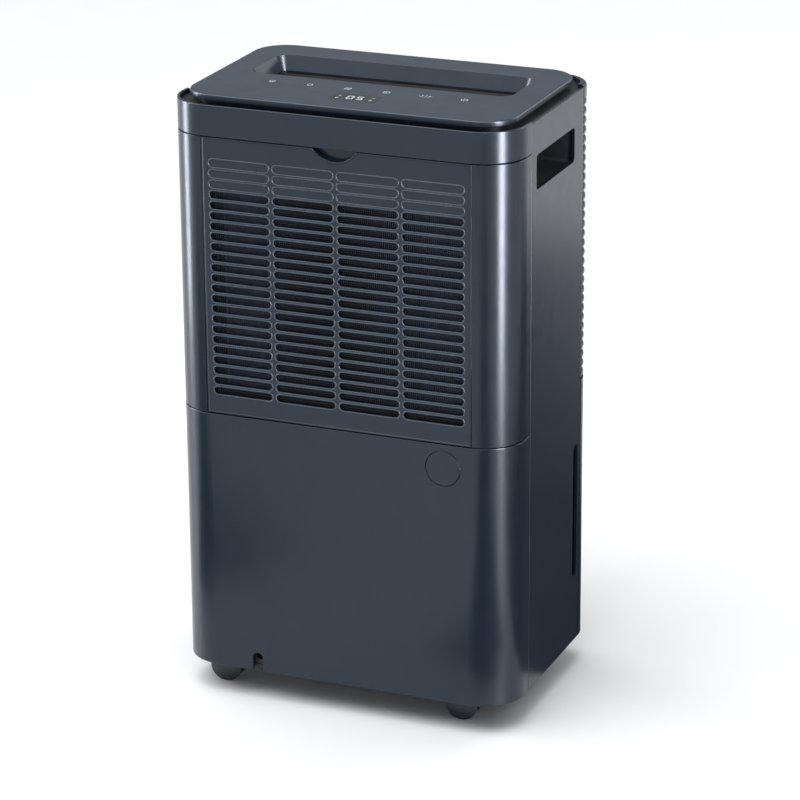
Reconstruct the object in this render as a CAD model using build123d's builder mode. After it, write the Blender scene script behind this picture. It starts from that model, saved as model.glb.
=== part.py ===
from build123d import *
from math import cos, radians, sin, tan
import os

os.makedirs("parts", exist_ok=True)

# A portable compressor dehumidifier on four twin-wheel casters, in millimetres.
# +Z is up and z = 0 is the floor. The user's side, with the water tank, faces -Y.
# The air inlet with its removable filter panel faces +Y.

# ---------------------------------------------------------------- cabinet
width = 300.0
depth = 200.0
ground_gap = 26.0           # floor to the lower edge of the shells
lower_height = 227.0        # lower rear cover and tank front
middle_height = 236.0       # filter bay
band_height = 26.0          # plain band above the filter
rear_radius = 36.0
front_radius = 30.0
rear_wrap = 46.0            # how far the rear shells run along the sides
front_wrap = 32.0           # how far the front shells run along the sides
wall = 2.5
seam = 0.6                  # gap between neighbouring shells
lip = 1.8                   # thickness of the tongues behind the seams
lip_gap = 0.3               # air between a tongue and the shell that it backs
edge_round = 0.7            # moulded edge of the shells
band_round = 1.1            # softer upper edge of the band
tongue_reach = 5.4          # how far a pillar tongue passes a seam
tongue_root_low = 9.0       # the tongue's root below the lower seam
tongue_root_high = 3.6
pillar_width = 33.0         # pillar on each side of the filter panel
side_drop = 2.0             # side panels end this far below the rim
rear_lap = 8.0              # lap of a side panel behind the rear shells
lap_root = 5.0              # the part of the lap that is joined to its panel

side = width / 2
rear = depth / 2
front = -depth / 2
rear_seam_y = rear - rear_wrap
front_seam_y = front + front_wrap
lower_top = ground_gap + lower_height
middle_top = lower_top + middle_height
rim = middle_top + band_height
inner = wall + lip_gap      # inset of the first free space inside the shells

# ---------------------------------------------------------------- top
plate_inset_x = 9.0
plate_inset_y = 12.0
plate_radius = 28.0
plate_lift = 0.5            # underside of the control panel above the rim
plate_thickness = 5.0
plate_round = 1.6
deck_drop = 4.0             # channel floor below the rim
deck_thickness = 3.0
neck_inset = 7.0
neck_wall = 3.0
outlet_end_land = 35.0      # side of the cabinet to the end of the outlet
outlet_width = 64.0
outlet_y = -22.0
outlet_radius = 12.0
outlet_depth = 12.0
outlet_slope = 24.0         # degrees that the outlet walls lean in
funnel_wall = 2.0
deck_clearance = 1.0
collar_height = 4.0
throat_radius = 6.0
fin_count = 9
fin_height = 8.0
fin_thickness = 1.8
fin_lean = 18.0
stay_count = 3
display_length = 40.0
display_width = 20.0
display_y = 56.0
lens_thickness = 1.2
lens_gap = 0.15
lens_ledge = 1.5
lens_radius = 2.5
board_inset = 44.0          # side of the cabinet to the end of the board
board_width = 34.0
board_thickness = 1.6
board_y = 44.0
key_margin = 22.0           # end of the board to the first key
key_count = 6
key_chip = 5.0
key_chip_height = 1.6

# ---------------------------------------------------------------- filter panel
filter_gap = 0.4
slot_margin = 5.0           # side edge of the panel to the first bar
slot_bar = 3.8              # upright bar between two slots
slot_height = 6.2
slot_pitch_z = 8.81
slot_columns = 4
slot_rows = 23
blind_rows = 3              # upper rows that are only embossed
blind_depth = 0.7
top_slot_drop = 21.9        # top edge of the panel to the centre of the first row
finger_width = 37.6
finger_depth = 9.6
scoop_reach = 9.5
panel_skin = 2.5
panel_frame_depth = 6.0
panel_frame_width = 4.0
mesh_thickness = 1.2
ledge_thickness = 2.5
ledge_width = 8.0
ledge_gap = 1.2             # filter panel's back to the ledge

# ---------------------------------------------------------------- front ribs
rib_count = 30
rib_pitch = 8.1
rib_depth = 3.0
rib_valley = 0.2            # half the flat between two ribs
rib_start = 7.0             # seam to the first rib
front_skin = 5.5
front_top_round = 3.0

# ---------------------------------------------------------------- side openings
handle_length = 90.0
handle_height = 29.0
handle_y = -1.5
handle_top_drop = 30.0      # rim to the upper edge of the handle opening
handle_radius = 4.0
cup_depth = 28.0
cup_wall = 2.0
cup_margin = 2.5
cup_rib_pitch = 6.0
cup_rib_size = 2.0
grip_width = 10.5
grip_height = 120.0
grip_y = -57.0
grip_bottom = 60.0          # shell edge to the lower end of the slot

# ---------------------------------------------------------------- lower cover
drain_inset = 58.0          # side of the cabinet to the middle of the drain
drain_drop = 21.0           # seam to the centre of the drain cover
drain_radius = 15.0
drain_gap = 0.35
socket_wall = 2.2
socket_depth = 15.0
spigot_radius = 5.0
spigot_bore = 3.5
spigot_clearance = 1.0
cord_gap = 4.0              # caster well to the middle of the cord arch
cord_width = 9.2
cord_height = 16.6

# ---------------------------------------------------------------- water tank
tank_side_gap = 7.0
tank_corner = front_radius - wall - 3.5
tank_back_corner = 8.0
tank_back_y = -12.0
tank_lift = 28.0            # lower edge of the shells to the tank's floor
tank_height = 182.0
tank_wall = 2.2
tank_pocket_depth = 15.0
tank_pocket_margin = 7.0
lid_thickness = 2.0
lid_skirt = 5.0
lid_hole_radius = 14.0
lid_play = 0.3
pour_radius = 13.0
pour_inset = 32.0
pour_y = -70.0
bail_reach = 34.0
bail_half_span = 60.0
bail_pivot_y = -54.0
bail_pivot_rise = 9.5       # top of the tank's wall to the bail's pivot
bail_pin_radius = 2.5
bail_bar_radius = 4.5
arm_width = 5.0
arm_height = 7.0
pin_clearance = 0.05
ear_thickness = 5.0
ear_land = 2.5              # material around a pivot bore
side_play = 0.4
float_pivot_y = -26.0
float_pivot_drop = 16.0     # top of the tank's wall to the float's pivot
float_arm = 34.0
float_rest = 32.0           # degrees below level when the tank is empty
float_arm_width = 6.0
float_ear_thickness = 3.0
float_pin_radius = 1.5
float_width = 26.0
float_length = 20.0
float_height = 16.0
float_round = 4.0
rail_gap = 8.0              # caster well to the middle of a rail
rail_width = 4.0

# ---------------------------------------------------------------- inside
bulkhead_y = -7.0
bay_roof_rise = 41.0        # seam of the rear covers to the roof of the tank bay
plate_metal = 2.5
spout_inset = 50.0
spout_radius = 6.0
spout_bore = 4.5
spout_end_y = -34.0
tray_rise = 3.0             # seam of the rear covers to the drip tray
tray_height = 12.0
tray_margin = 10.0          # end of the coils to the end of the tray
tray_front_y = 16.0
tray_back_y = 84.0
tray_wall = 2.0
spigot_y = 74.0
spigot_bend = 9.0
spigot_inset = 5.0
cap_thickness = 2.5
cap_step = 1.5
cap_wall = 2.0
cap_skirt = 8.0
coil_side_gap = 11.0        # end of the coils to the side of the filter opening
coil_rise = 14.0            # underside of the drip tray to the coils
coil_height = 208.0
coil_depth = 20.0
evaporator_y = 72.0
condenser_y = 44.0
coil_tube_radius = 3.5
coil_rows = 8
fan_rise = 145.0            # seam of the rear covers to the fan's axis
fan_y = -24.0
impeller_gap = 18.0         # impeller to the outside of the scroll
impeller_width = 54.0
blade_count = 36
blade_chord = 14.0
blade_thickness = 1.6
blade_lean = 35.0
scroll_side_gap = 50.0
scroll_depth = 70.0
scroll_wall = 2.0
scroll_gap = 1.0
inlet_ring = 16.0           # impeller's rim inside the inlet's edge
hub_radius = 12.0
hub_length = 27.0
motor_radius = 38.0
motor_length = 30.0
motor_round = 2.1
bore_start = 4.0            # end of the motor to the end of its bore
shaft_start = 6.0           # end of the motor to the end of the shaft
shaft_radius = 4.0
compressor_gap = 28.0       # caster well to the middle of the compressor
compressor_y = 43.0
compressor_radius = 45.0
compressor_height = 140.0
grommet_height = 12.0
foot_pitch = 46.0
foot_radius = 8.0
grommet_radius = 7.0
dome_radius = 14.0
pipe_radius = 3.0
pipe_bend = 9.0
pipe_side_gap = 18.0
pipe_spread = 8.0
pipe_rise = 26.0
pipe_entry = 40.0
box_gap = 6.0               # compressor's foot to the box
box_lift = 1.0              # top of the caster wells to the box
box_length = 72.0
box_width = 60.0
box_height = 118.0
box_round = 4.0
capacitor_radius = 20.0
capacitor_height = 62.0
gland_width = 16.0
gland_length = 9.5
gland_height = 14.0
gland_lip = 1.0
gland_setback = 3.0
sensor_length = 24.0
sensor_height = 12.0
sensor_depth = 5.0
sensor_round = 2.0
sensor_stand = 3.0          # ledge to the humidity sensor

# ---------------------------------------------------------------- casters
wheel_radius = 14.0
wheel_width = 7.5
wheel_gap = 0.5
wheel_bevel = 1.0
yoke_width = 7.0
axle_radius = 2.0
caster_trail = 10.0
caster_side_land = 14.0     # side of the cabinet to a caster well
caster_end_land = 6.0       # front or rear of the cabinet to a caster well
stem_radius = 3.0
well_radius = 28.0
well_wall = 2.0
well_height = 11.5
stem_socket_height = 12.0
stem_socket_wall = 3.0
base_thickness = 3.0
base_lift = 1.0
base_rim_height = 14.0
web_radius = 8.5
pad_rise = 18.0             # axle to the underside of the pad
pad_radius = 9.0
pad_gap = 0.4
wheel_crown = 2.4           # rise of a wheel's rounded face
crown_mid = 0.62            # share of the radius where the crown is two thirds up
screw_radius = 2.0
screw_length = 10.0
screw_head_radius = 4.0
screw_head_height = 1.0
screw_head_gap = 0.4
screw_inset = 25.0

# ---------------------------------------------------------------- places that follow from the sizes
tank_floor_z = ground_gap + tank_lift
tank_top_z = tank_floor_z + tank_height
bail_pivot_z = tank_top_z + bail_pivot_rise
float_pivot_z = tank_top_z - float_pivot_drop
bay_roof_z = lower_top + bay_roof_rise
tray_bottom = lower_top + tray_rise
coil_bottom = tray_bottom + coil_rise
coil_top = coil_bottom + coil_height
fan_z = lower_top + fan_rise
pad_bottom = wheel_radius + pad_rise
filter_width = width - 2 * pillar_width
slot_pitch_x = (filter_width - 2 * slot_margin) / slot_columns
slot_length = slot_pitch_x - slot_bar
outlet_length = width - 2 * outlet_end_land
board_length = width - 2 * board_inset
key_pitch = (board_length - 2 * key_margin) / (key_count - 1)
drain_x = -(side - drain_inset)
float_x = drain_x
pour_x = -(side - pour_inset)
spout_x = side - spout_inset
coil_half_width = filter_width / 2 - coil_side_gap
tray_half_width = coil_half_width + tray_margin
scroll_radius = side - scroll_side_gap
impeller_radius = scroll_radius - impeller_gap
inlet_radius = impeller_radius - inlet_ring
caster_x = side - caster_side_land - well_radius
caster_y = rear - caster_end_land - well_radius
well_side = caster_x - well_radius          # the side of a caster well that faces the middle
rail_x = well_side - well_wall - rail_gap
cord_x = well_side - cord_gap
compressor_x = -(well_side - compressor_gap)
box_x = compressor_x + foot_pitch + foot_radius + box_gap + box_length / 2
box_y = bulkhead_y + box_width / 2
base_screw_spots = [(-side + screw_inset, 12.0), (side - screw_inset, 12.0), (-40.0, -50.0), (40.0, -50.0),
                    (10.0, 84.0), (cord_x - gland_width, 84.0)]


# ---------------------------------------------------------------- shared outlines
def body_outline(inset):
    """Plan outline of the cabinet, moved inwards by inset."""
    with BuildSketch(Plane.XY, mode=Mode.PRIVATE) as outline:
        Rectangle(width - 2 * inset, depth - 2 * inset)
        fillet(outline.vertices().group_by(Axis.Y)[-1], rear_radius - inset)
        fillet(outline.vertices().group_by(Axis.Y)[0], front_radius - inset)
    return outline.sketch


def wall_section(low_y, high_y, inset=0.0, thickness=wall, open_half=0.0):
    """Plan section of the cabinet wall between two depths, with the middle left open."""
    with BuildSketch(Plane.XY, mode=Mode.PRIVATE) as section:
        add(body_outline(inset))
        add(body_outline(inset + thickness), mode=Mode.SUBTRACT)
        with Locations((0, (low_y + high_y) / 2)):
            Rectangle(width, high_y - low_y, mode=Mode.INTERSECT)
        if open_half:
            Rectangle(2 * open_half, 2 * depth, mode=Mode.SUBTRACT)
    return section.sketch


def rounded_plate(size_x, size_y, radius, centre=(0.0, 0.0)):
    """Flat rounded rectangle about a centre."""
    with BuildSketch(Plane.XY, mode=Mode.PRIVATE) as plate:
        with Locations(centre):
            RectangleRounded(size_x, size_y, radius)
    return plate.sketch


def save(piece, label):
    """Label a finished piece and write it as its own file."""
    piece.part.label = label
    export_step(piece.part, f"parts/{label}.step")


rear_section = wall_section(rear_seam_y + seam / 2, rear)
pillar_half = filter_width / 2
tongue_y = rear_seam_y + rear_lap + seam
tongue_half = pillar_half + panel_frame_width
pillar_tongue = wall_section(tongue_y, rear, inner, lip, tongue_half)
tongue_root = wall_section(tongue_y, rear, wall - edge_round, lip + edge_round, tongue_half)


# ================================================================ rear shells
drain_z = lower_top - drain_drop
drain_plane = Plane(origin=(drain_x, rear, drain_z), x_dir=(-1, 0, 0), z_dir=(0, 1, 0))
socket_radius = drain_radius + drain_gap
cord_plane = Plane(origin=(cord_x, rear, ground_gap), x_dir=(-1, 0, 0), z_dir=(0, 1, 0))

with BuildPart() as rear_lower_cover:
    with BuildSketch(Plane.XY.offset(ground_gap)):
        add(rear_section)
    extrude(amount=lower_height - seam)
    fillet(rear_lower_cover.faces().sort_by(Axis.Z)[-1].edges(), edge_round)
    fillet(rear_lower_cover.faces().sort_by(Axis.Z)[0].edges(), edge_round)
    # tongue that runs up behind the seam at each pillar
    with BuildSketch(Plane.XY.offset(lower_top - tongue_reach)):
        add(pillar_tongue)
    extrude(amount=2 * tongue_reach)
    with BuildSketch(Plane.XY.offset(lower_top - tongue_root_low)):
        add(tongue_root)
    extrude(amount=tongue_root_low - tongue_root_high)
    # round socket for the drain cover, with a floor that the spigot passes
    with BuildSketch(drain_plane):
        Circle(socket_radius + socket_wall)
    extrude(amount=-socket_depth)
    with BuildSketch(drain_plane):
        Circle(socket_radius)
    extrude(amount=-(socket_depth - socket_wall), mode=Mode.SUBTRACT)
    with BuildSketch(drain_plane):
        Circle(spigot_radius + spigot_clearance)
    extrude(amount=-socket_depth, mode=Mode.SUBTRACT)
    # arch in the lower edge for the supply cord
    with BuildSketch(cord_plane):
        with Locations((0, cord_height - cord_width / 2)):
            Circle(cord_width / 2)
        with Locations((0, (cord_height - cord_width / 2) / 2)):
            Rectangle(cord_width, cord_height - cord_width / 2)
    extrude(amount=-2 * wall, mode=Mode.SUBTRACT)
save(rear_lower_cover, "rear_lower_cover")

ledge_y = rear - panel_skin - panel_frame_depth - ledge_gap
ledge_plane = Plane(origin=(0, ledge_y, (lower_top + middle_top) / 2), x_dir=(-1, 0, 0), z_dir=(0, 1, 0))
return_depth = rear - wall - ledge_y + ledge_thickness

with BuildPart() as rear_mid_frame:
    with BuildSketch(Plane.XY.offset(lower_top)):
        add(wall_section(rear_seam_y + seam / 2, rear, open_half=pillar_half))
    extrude(amount=middle_height - seam)
    fillet(rear_mid_frame.edges().group_by(Axis.Z)[-1] + rear_mid_frame.edges().group_by(Axis.Z)[0],
           edge_round)
    # ledge that the filter panel closes against, on returns behind the pillars
    with BuildSketch(ledge_plane):
        Rectangle(filter_width + 2 * wall, middle_height - seam)
        Rectangle(filter_width - 2 * ledge_width, middle_height - seam - 2 * ledge_width,
                  mode=Mode.SUBTRACT)
    extrude(amount=-ledge_thickness)
    with BuildSketch(Plane.XY.offset(lower_top + seam / 2)):
        with Locations((-pillar_half - wall / 2, rear - wall / 2 - return_depth / 2),
                       (pillar_half + wall / 2, rear - wall / 2 - return_depth / 2)):
            Rectangle(wall, return_depth)
    extrude(amount=middle_height - 2 * seam)
save(rear_mid_frame, "rear_mid_frame")

with BuildPart() as rear_top_band:
    with BuildSketch(Plane.XY.offset(middle_top)):
        add(rear_section)
    extrude(amount=band_height)
    fillet(rear_top_band.faces().sort_by(Axis.Z)[-1].edges(), band_round)
    fillet(rear_top_band.faces().sort_by(Axis.Z)[0].edges(), edge_round)
    with BuildSketch(Plane.XY.offset(middle_top - tongue_reach)):
        add(pillar_tongue)
    extrude(amount=2 * tongue_reach)
    with BuildSketch(Plane.XY.offset(middle_top + edge_round)):
        add(tongue_root)
    extrude(amount=tongue_root_high)
save(rear_top_band, "rear_top_band")


# ================================================================ filter panel
panel_bottom = lower_top + seam / 2
panel_top = middle_top - seam
panel_mid_z = (panel_bottom + panel_top) / 2
panel_height = panel_top - panel_bottom
panel_width = filter_width - 2 * filter_gap
first_row_z = middle_top - top_slot_drop - panel_mid_z
open_rows = slot_rows - blind_rows
open_mid_z = first_row_z - (blind_rows + (open_rows - 1) / 2) * slot_pitch_z
blind_mid_z = first_row_z - (blind_rows - 1) / 2 * slot_pitch_z
panel_plane = Plane(origin=(0, rear, panel_mid_z), x_dir=(-1, 0, 0), z_dir=(0, 1, 0))
finger_radius = ((finger_width / 2) ** 2 + finger_depth ** 2) / (2 * finger_depth)
finger_centre = panel_height / 2 + finger_radius - finger_depth


def finger_segment(margin):
    """Round segment below the panel's top edge that a finger fits in."""
    with BuildSketch(Plane.XY, mode=Mode.PRIVATE) as segment:
        with Locations((0, finger_centre)):
            Circle(finger_radius + margin)
        Rectangle(panel_width, panel_height, mode=Mode.INTERSECT)
    return segment.sketch


with BuildPart() as filter_panel:
    with BuildSketch(panel_plane):
        Rectangle(panel_width, panel_height)
    extrude(amount=-panel_skin)
    fillet(filter_panel.faces().sort_by(Axis.Y)[-1].edges(), edge_round)
    # frame behind the skin that stiffens it and carries the mesh
    with BuildSketch(panel_plane.offset(-panel_skin)):
        Rectangle(panel_width, panel_height)
        Rectangle(panel_width - 2 * panel_frame_width, panel_height - 2 * panel_frame_width,
                  mode=Mode.SUBTRACT)
    extrude(amount=-panel_frame_depth)
    with BuildSketch(panel_plane.offset(-panel_skin)):
        add(finger_segment(panel_skin))
    extrude(amount=-(scoop_reach - panel_skin))
    with BuildSketch(panel_plane):
        add(finger_segment(0))
    extrude(amount=-(scoop_reach - panel_skin / 2), mode=Mode.SUBTRACT)
    with BuildSketch(panel_plane):
        with Locations((0, open_mid_z)):
            with GridLocations(slot_pitch_x, slot_pitch_z, slot_columns, open_rows):
                SlotOverall(slot_length, slot_height)
    extrude(amount=-panel_skin, mode=Mode.SUBTRACT)
    with BuildSketch(panel_plane):
        with Locations((0, blind_mid_z)):
            with GridLocations(slot_pitch_x, slot_pitch_z, slot_columns, blind_rows):
                SlotOverall(slot_length, slot_height)
    extrude(amount=-blind_depth, mode=Mode.SUBTRACT)
save(filter_panel, "filter_panel")

mesh_gap = 0.5
mesh_top = panel_height / 2 - finger_depth - 2 * panel_skin - mesh_gap
mesh_bottom = -panel_height / 2 + panel_frame_width + mesh_gap

with BuildPart() as filter_mesh:
    with BuildSketch(panel_plane.offset(-panel_skin - mesh_gap)):
        with Locations((0, (mesh_top + mesh_bottom) / 2)):
            Rectangle(panel_width - 2 * panel_frame_width - 2 * mesh_gap, mesh_top - mesh_bottom)
    extrude(amount=-mesh_thickness)
save(filter_mesh, "filter_mesh")


# ================================================================ side panels and handle cups
handle_z = rim - handle_top_drop - handle_height / 2
grip_z = ground_gap + grip_bottom + grip_height / 2
panel_low_y = front_seam_y + seam / 2
panel_high_y = rear_seam_y - seam / 2
panel_length = panel_high_y - panel_low_y
side_height = rim - side_drop - ground_gap
lap_bottom = ground_gap + edge_round
lap_height = rim - deck_drop - deck_thickness - lip_gap - lap_bottom
lap_mid_z = lap_bottom + lap_height / 2


def side_plane(sign, inset=0.0):
    """Plane on a side of the cabinet that looks outwards, at the floor and mid depth."""
    return Plane(origin=(sign * (side - inset), 0, 0), x_dir=(0, sign, 0), z_dir=(sign, 0, 0))


def build_side_panel(sign):
    """Flat side panel with its handle opening, tank grip slot and seam laps."""
    with BuildPart() as panel:
        with BuildSketch(side_plane(sign)):
            with Locations((sign * (panel_low_y + panel_high_y) / 2, ground_gap + side_height / 2)):
                Rectangle(panel_length, side_height)
        extrude(amount=-wall)
        fillet(panel.faces().sort_by(Axis.X)[-1 if sign > 0 else 0].edges(), edge_round)
        # lap that runs on behind the rear shells and closes the seam
        with BuildSketch(side_plane(sign, wall)):
            with Locations((sign * (panel_high_y - lap_root / 2), lap_mid_z)):
                Rectangle(lap_root, lap_height)
        extrude(amount=-lip_gap - lip)
        with BuildSketch(side_plane(sign, inner)):
            with Locations((sign * (panel_high_y + rear_lap / 2), lap_mid_z)):
                Rectangle(rear_lap, lap_height)
        extrude(amount=-lip)
        with BuildSketch(side_plane(sign)):
            with Locations((sign * handle_y, handle_z)):
                RectangleRounded(handle_length, handle_height, handle_radius)
            with Locations((sign * grip_y, grip_z)):
                SlotOverall(grip_height, grip_width, rotation=90)
        extrude(amount=-wall, mode=Mode.SUBTRACT)
    return panel


def build_handle_cup(sign):
    """Deep finger recess behind a handle opening, with ribs on its back wall."""
    outer_length = handle_length + 2 * (cup_margin + cup_wall)
    outer_height = handle_height + 2 * (cup_margin + cup_wall)
    centre = (sign * handle_y, handle_z)
    rib_total = int((handle_length - cup_rib_pitch) / cup_rib_pitch)
    with BuildPart() as cup:
        with BuildSketch(side_plane(sign, wall)):
            with Locations(centre):
                RectangleRounded(outer_length, outer_height, handle_radius + cup_margin)
        extrude(amount=-cup_depth)
        with BuildSketch(side_plane(sign, wall)):
            with Locations(centre):
                RectangleRounded(outer_length - 2 * cup_wall, outer_height - 2 * cup_wall, handle_radius)
        extrude(amount=-(cup_depth - cup_wall), mode=Mode.SUBTRACT)
        with BuildSketch(side_plane(sign, wall + cup_depth - cup_wall)):
            with Locations(centre):
                with GridLocations(cup_rib_pitch, 1, rib_total, 1):
                    Rectangle(cup_rib_size, outer_height - cup_wall)
        extrude(amount=cup_rib_size)
    return cup


side_panel_left = build_side_panel(-1)
save(side_panel_left, "side_panel_left")
side_panel_right = build_side_panel(1)
save(side_panel_right, "side_panel_right")
handle_cup_left = build_handle_cup(-1)
save(handle_cup_left, "handle_cup_left")
handle_cup_right = build_handle_cup(1)
save(handle_cup_right, "handle_cup_right")


# ================================================================ ribbed front panel
front_start = (side, front_seam_y - seam / 2)
front_end = (-side, front_seam_y - seam / 2)
first_rib = lower_top + rib_start
last_rib = first_rib + rib_count * rib_pitch

with BuildPart() as front_panel:
    with BuildLine() as front_route:
        Line(front_start, (side, front + front_radius))
        RadiusArc((side, front + front_radius), (side - front_radius, front), front_radius)
        Line((side - front_radius, front), (-side + front_radius, front))
        RadiusArc((-side + front_radius, front), (-side, front + front_radius), front_radius)
        Line((-side, front + front_radius), front_end)
    with BuildSketch(Plane(origin=(*front_start, 0), x_dir=(1, 0, 0), z_dir=(0, -1, 0))):
        with BuildLine():
            Line((0, lower_top), (0, first_rib))
            Line((0, first_rib), (-rib_depth, first_rib + rib_valley))
            # each rib is a round bead between two flat valleys
            for rib in range(rib_count):
                low = first_rib + rib * rib_pitch
                high = low + rib_pitch
                ThreePointArc((-rib_depth, low + rib_valley), (0, (low + high) / 2),
                              (-rib_depth, high - rib_valley))
                if rib < rib_count - 1:
                    Line((-rib_depth, high - rib_valley), (-rib_depth, high + rib_valley))
            Line((-rib_depth, last_rib - rib_valley), (0, last_rib))
            Line((0, last_rib), (0, rim - front_top_round))
            RadiusArc((0, rim - front_top_round), (-front_top_round, rim), -front_top_round)
            Line((-front_top_round, rim), (-front_skin, rim))
            Line((-front_skin, rim), (-front_skin, lower_top))
            Line((-front_skin, lower_top), (0, lower_top))
        make_face()
    sweep(path=front_route.line)
save(front_panel, "front_panel")


# ================================================================ top
deck_top = rim - deck_drop
deck_bottom = deck_top - deck_thickness
plate_bottom = rim + plate_lift
plate_top = plate_bottom + plate_thickness
plate_x = width - 2 * plate_inset_x
plate_y = depth - 2 * plate_inset_y
funnel_bottom = plate_top - outlet_depth
outlet_shrink = 2 * outlet_depth * tan(radians(outlet_slope))
throat_length = outlet_length - outlet_shrink
throat_width = outlet_width - outlet_shrink
grille_length = throat_length + 2 * funnel_wall
grille_width = throat_width + 2 * funnel_wall
outlet_centre = (0.0, outlet_y)
display_centre = (0.0, display_y)
window_length = display_length - 2 * lens_ledge
window_width = display_width - 2 * lens_ledge

with BuildPart() as top_deck:
    with BuildSketch(Plane.XY.offset(deck_bottom)):
        add(body_outline(inner))
        with Locations((0, (front_seam_y + rear) / 2)):
            Rectangle(width, rear - front_seam_y, mode=Mode.INTERSECT)
        add(body_outline(front_skin + lip_gap))
        add(rounded_plate(outlet_length + 2 * deck_clearance, outlet_width + 2 * deck_clearance,
                          outlet_radius, outlet_centre), mode=Mode.SUBTRACT)
        add(rounded_plate(window_length, window_width, lens_radius, display_centre), mode=Mode.SUBTRACT)
    extrude(amount=deck_thickness)
    # collar that leads the air from the fan casing up to the outlet
    with BuildSketch(Plane.XY.offset(deck_bottom - collar_height)):
        add(rounded_plate(outlet_length + 2 * (deck_clearance + funnel_wall),
                          outlet_width + 2 * (deck_clearance + funnel_wall),
                          outlet_radius, outlet_centre))
        add(rounded_plate(outlet_length + 2 * deck_clearance, outlet_width + 2 * deck_clearance,
                          outlet_radius, outlet_centre), mode=Mode.SUBTRACT)
    extrude(amount=collar_height)
save(top_deck, "top_deck")

with BuildPart() as control_panel:
    with BuildSketch(Plane.XY.offset(plate_bottom)):
        RectangleRounded(plate_x, plate_y, plate_radius)
    extrude(amount=plate_thickness)
    fillet(control_panel.faces().sort_by(Axis.Z)[-1].edges(), plate_round)
    fillet(control_panel.faces().sort_by(Axis.Z)[0].edges(), edge_round)
    # neck that lifts the plate off the channel floor
    with BuildSketch(Plane.XY.offset(deck_top)):
        RectangleRounded(plate_x - 2 * neck_inset, plate_y - 2 * neck_inset, plate_radius - neck_inset)
        RectangleRounded(plate_x - 2 * neck_inset - 2 * neck_wall, plate_y - 2 * neck_inset - 2 * neck_wall,
                         plate_radius - neck_inset - neck_wall, mode=Mode.SUBTRACT)
    extrude(amount=plate_bottom - deck_top)
    with BuildSketch(Plane.XY.offset(plate_top - edge_round)):
        add(rounded_plate(outlet_length, outlet_width, outlet_radius, outlet_centre))
    extrude(amount=outlet_depth - edge_round, dir=(0, 0, -1), taper=outlet_slope / 2)
    with BuildSketch(Plane.XY.offset(plate_top)):
        add(rounded_plate(outlet_length, outlet_width, outlet_radius, outlet_centre))
    extrude(amount=outlet_depth, dir=(0, 0, -1), taper=outlet_slope, mode=Mode.SUBTRACT)
    with BuildSketch(Plane.XY.offset(plate_top)):
        add(rounded_plate(display_length, display_width, lens_radius, display_centre))
    extrude(amount=-lens_thickness, mode=Mode.SUBTRACT)
    with BuildSketch(Plane.XY.offset(plate_bottom)):
        add(rounded_plate(window_length, window_width, lens_radius, display_centre))
    extrude(amount=plate_thickness, mode=Mode.SUBTRACT)
save(control_panel, "control_panel")

fin_pitch = throat_width / fin_count

with BuildPart() as outlet_grille:
    with BuildSketch(Plane.XY.offset(funnel_bottom - fin_height)):
        add(rounded_plate(grille_length, grille_width, throat_radius, outlet_centre))
        add(rounded_plate(throat_length, throat_width, throat_radius, outlet_centre),
            mode=Mode.SUBTRACT)
    extrude(amount=fin_height)
    with BuildSketch(Plane(origin=(-grille_length / 2 + funnel_wall / 2, outlet_y,
                                   funnel_bottom - fin_height / 2), x_dir=(0, 1, 0), z_dir=(1, 0, 0))):
        with GridLocations(fin_pitch, 1, fin_count - 1, 1):
            Rectangle(fin_thickness, fin_height - fin_thickness, rotation=fin_lean)
    extrude(amount=grille_length - funnel_wall)
    with BuildSketch(Plane.XY.offset(funnel_bottom - fin_height)):
        with Locations(outlet_centre):
            with GridLocations(throat_length / (stay_count + 1), 1, stay_count, 1):
                Rectangle(fin_thickness, throat_width + funnel_wall)
    extrude(amount=fin_height / 2)
save(outlet_grille, "outlet_grille")

with BuildPart() as display_lens:
    with BuildSketch(Plane.XY.offset(plate_top - lens_thickness)):
        add(rounded_plate(display_length - 2 * lens_gap, display_width - 2 * lens_gap,
                          lens_radius - lens_gap, display_centre))
    extrude(amount=lens_thickness)
save(display_lens, "display_lens")

with BuildPart() as control_board:
    with BuildSketch(Plane.XY.offset(deck_bottom - board_thickness)):
        with Locations((0, board_y)):
            Rectangle(board_length, board_width)
    extrude(amount=board_thickness)
    with BuildSketch(Plane.XY.offset(deck_bottom - board_thickness)):
        with Locations((0, board_y)):
            with GridLocations(key_pitch, 1, key_count, 1):
                Rectangle(key_chip, key_chip)
    extrude(amount=-key_chip_height)
save(control_board, "control_board")

with BuildPart() as display_module:
    with BuildSketch(Plane.XY.offset(deck_bottom)):
        add(rounded_plate(window_length - 2 * lens_gap, window_width - 2 * lens_gap,
                          lens_radius - lens_gap, display_centre))
    extrude(amount=plate_top - lens_thickness - deck_bottom)
save(display_module, "display_module")


# ================================================================ water tank
tank_front_y = front + wall
tank_half_x = side - tank_side_gap
tank_length = tank_back_y - tank_front_y
tank_mid_y = (tank_back_y + tank_front_y) / 2
pocket_length = grip_width + 2 * tank_pocket_margin
pocket_height = grip_height + tank_pocket_margin


def tank_outline(inset):
    """Plan outline of the tank, rounder at its front corners."""
    with BuildSketch(Plane.XY, mode=Mode.PRIVATE) as outline:
        with Locations((0, tank_mid_y)):
            Rectangle(2 * (tank_half_x - inset), tank_length - 2 * inset)
        fillet(outline.vertices().group_by(Axis.Y)[0], tank_corner - inset)
        fillet(outline.vertices().group_by(Axis.Y)[-1], tank_back_corner - inset)
    return outline.sketch


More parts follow.
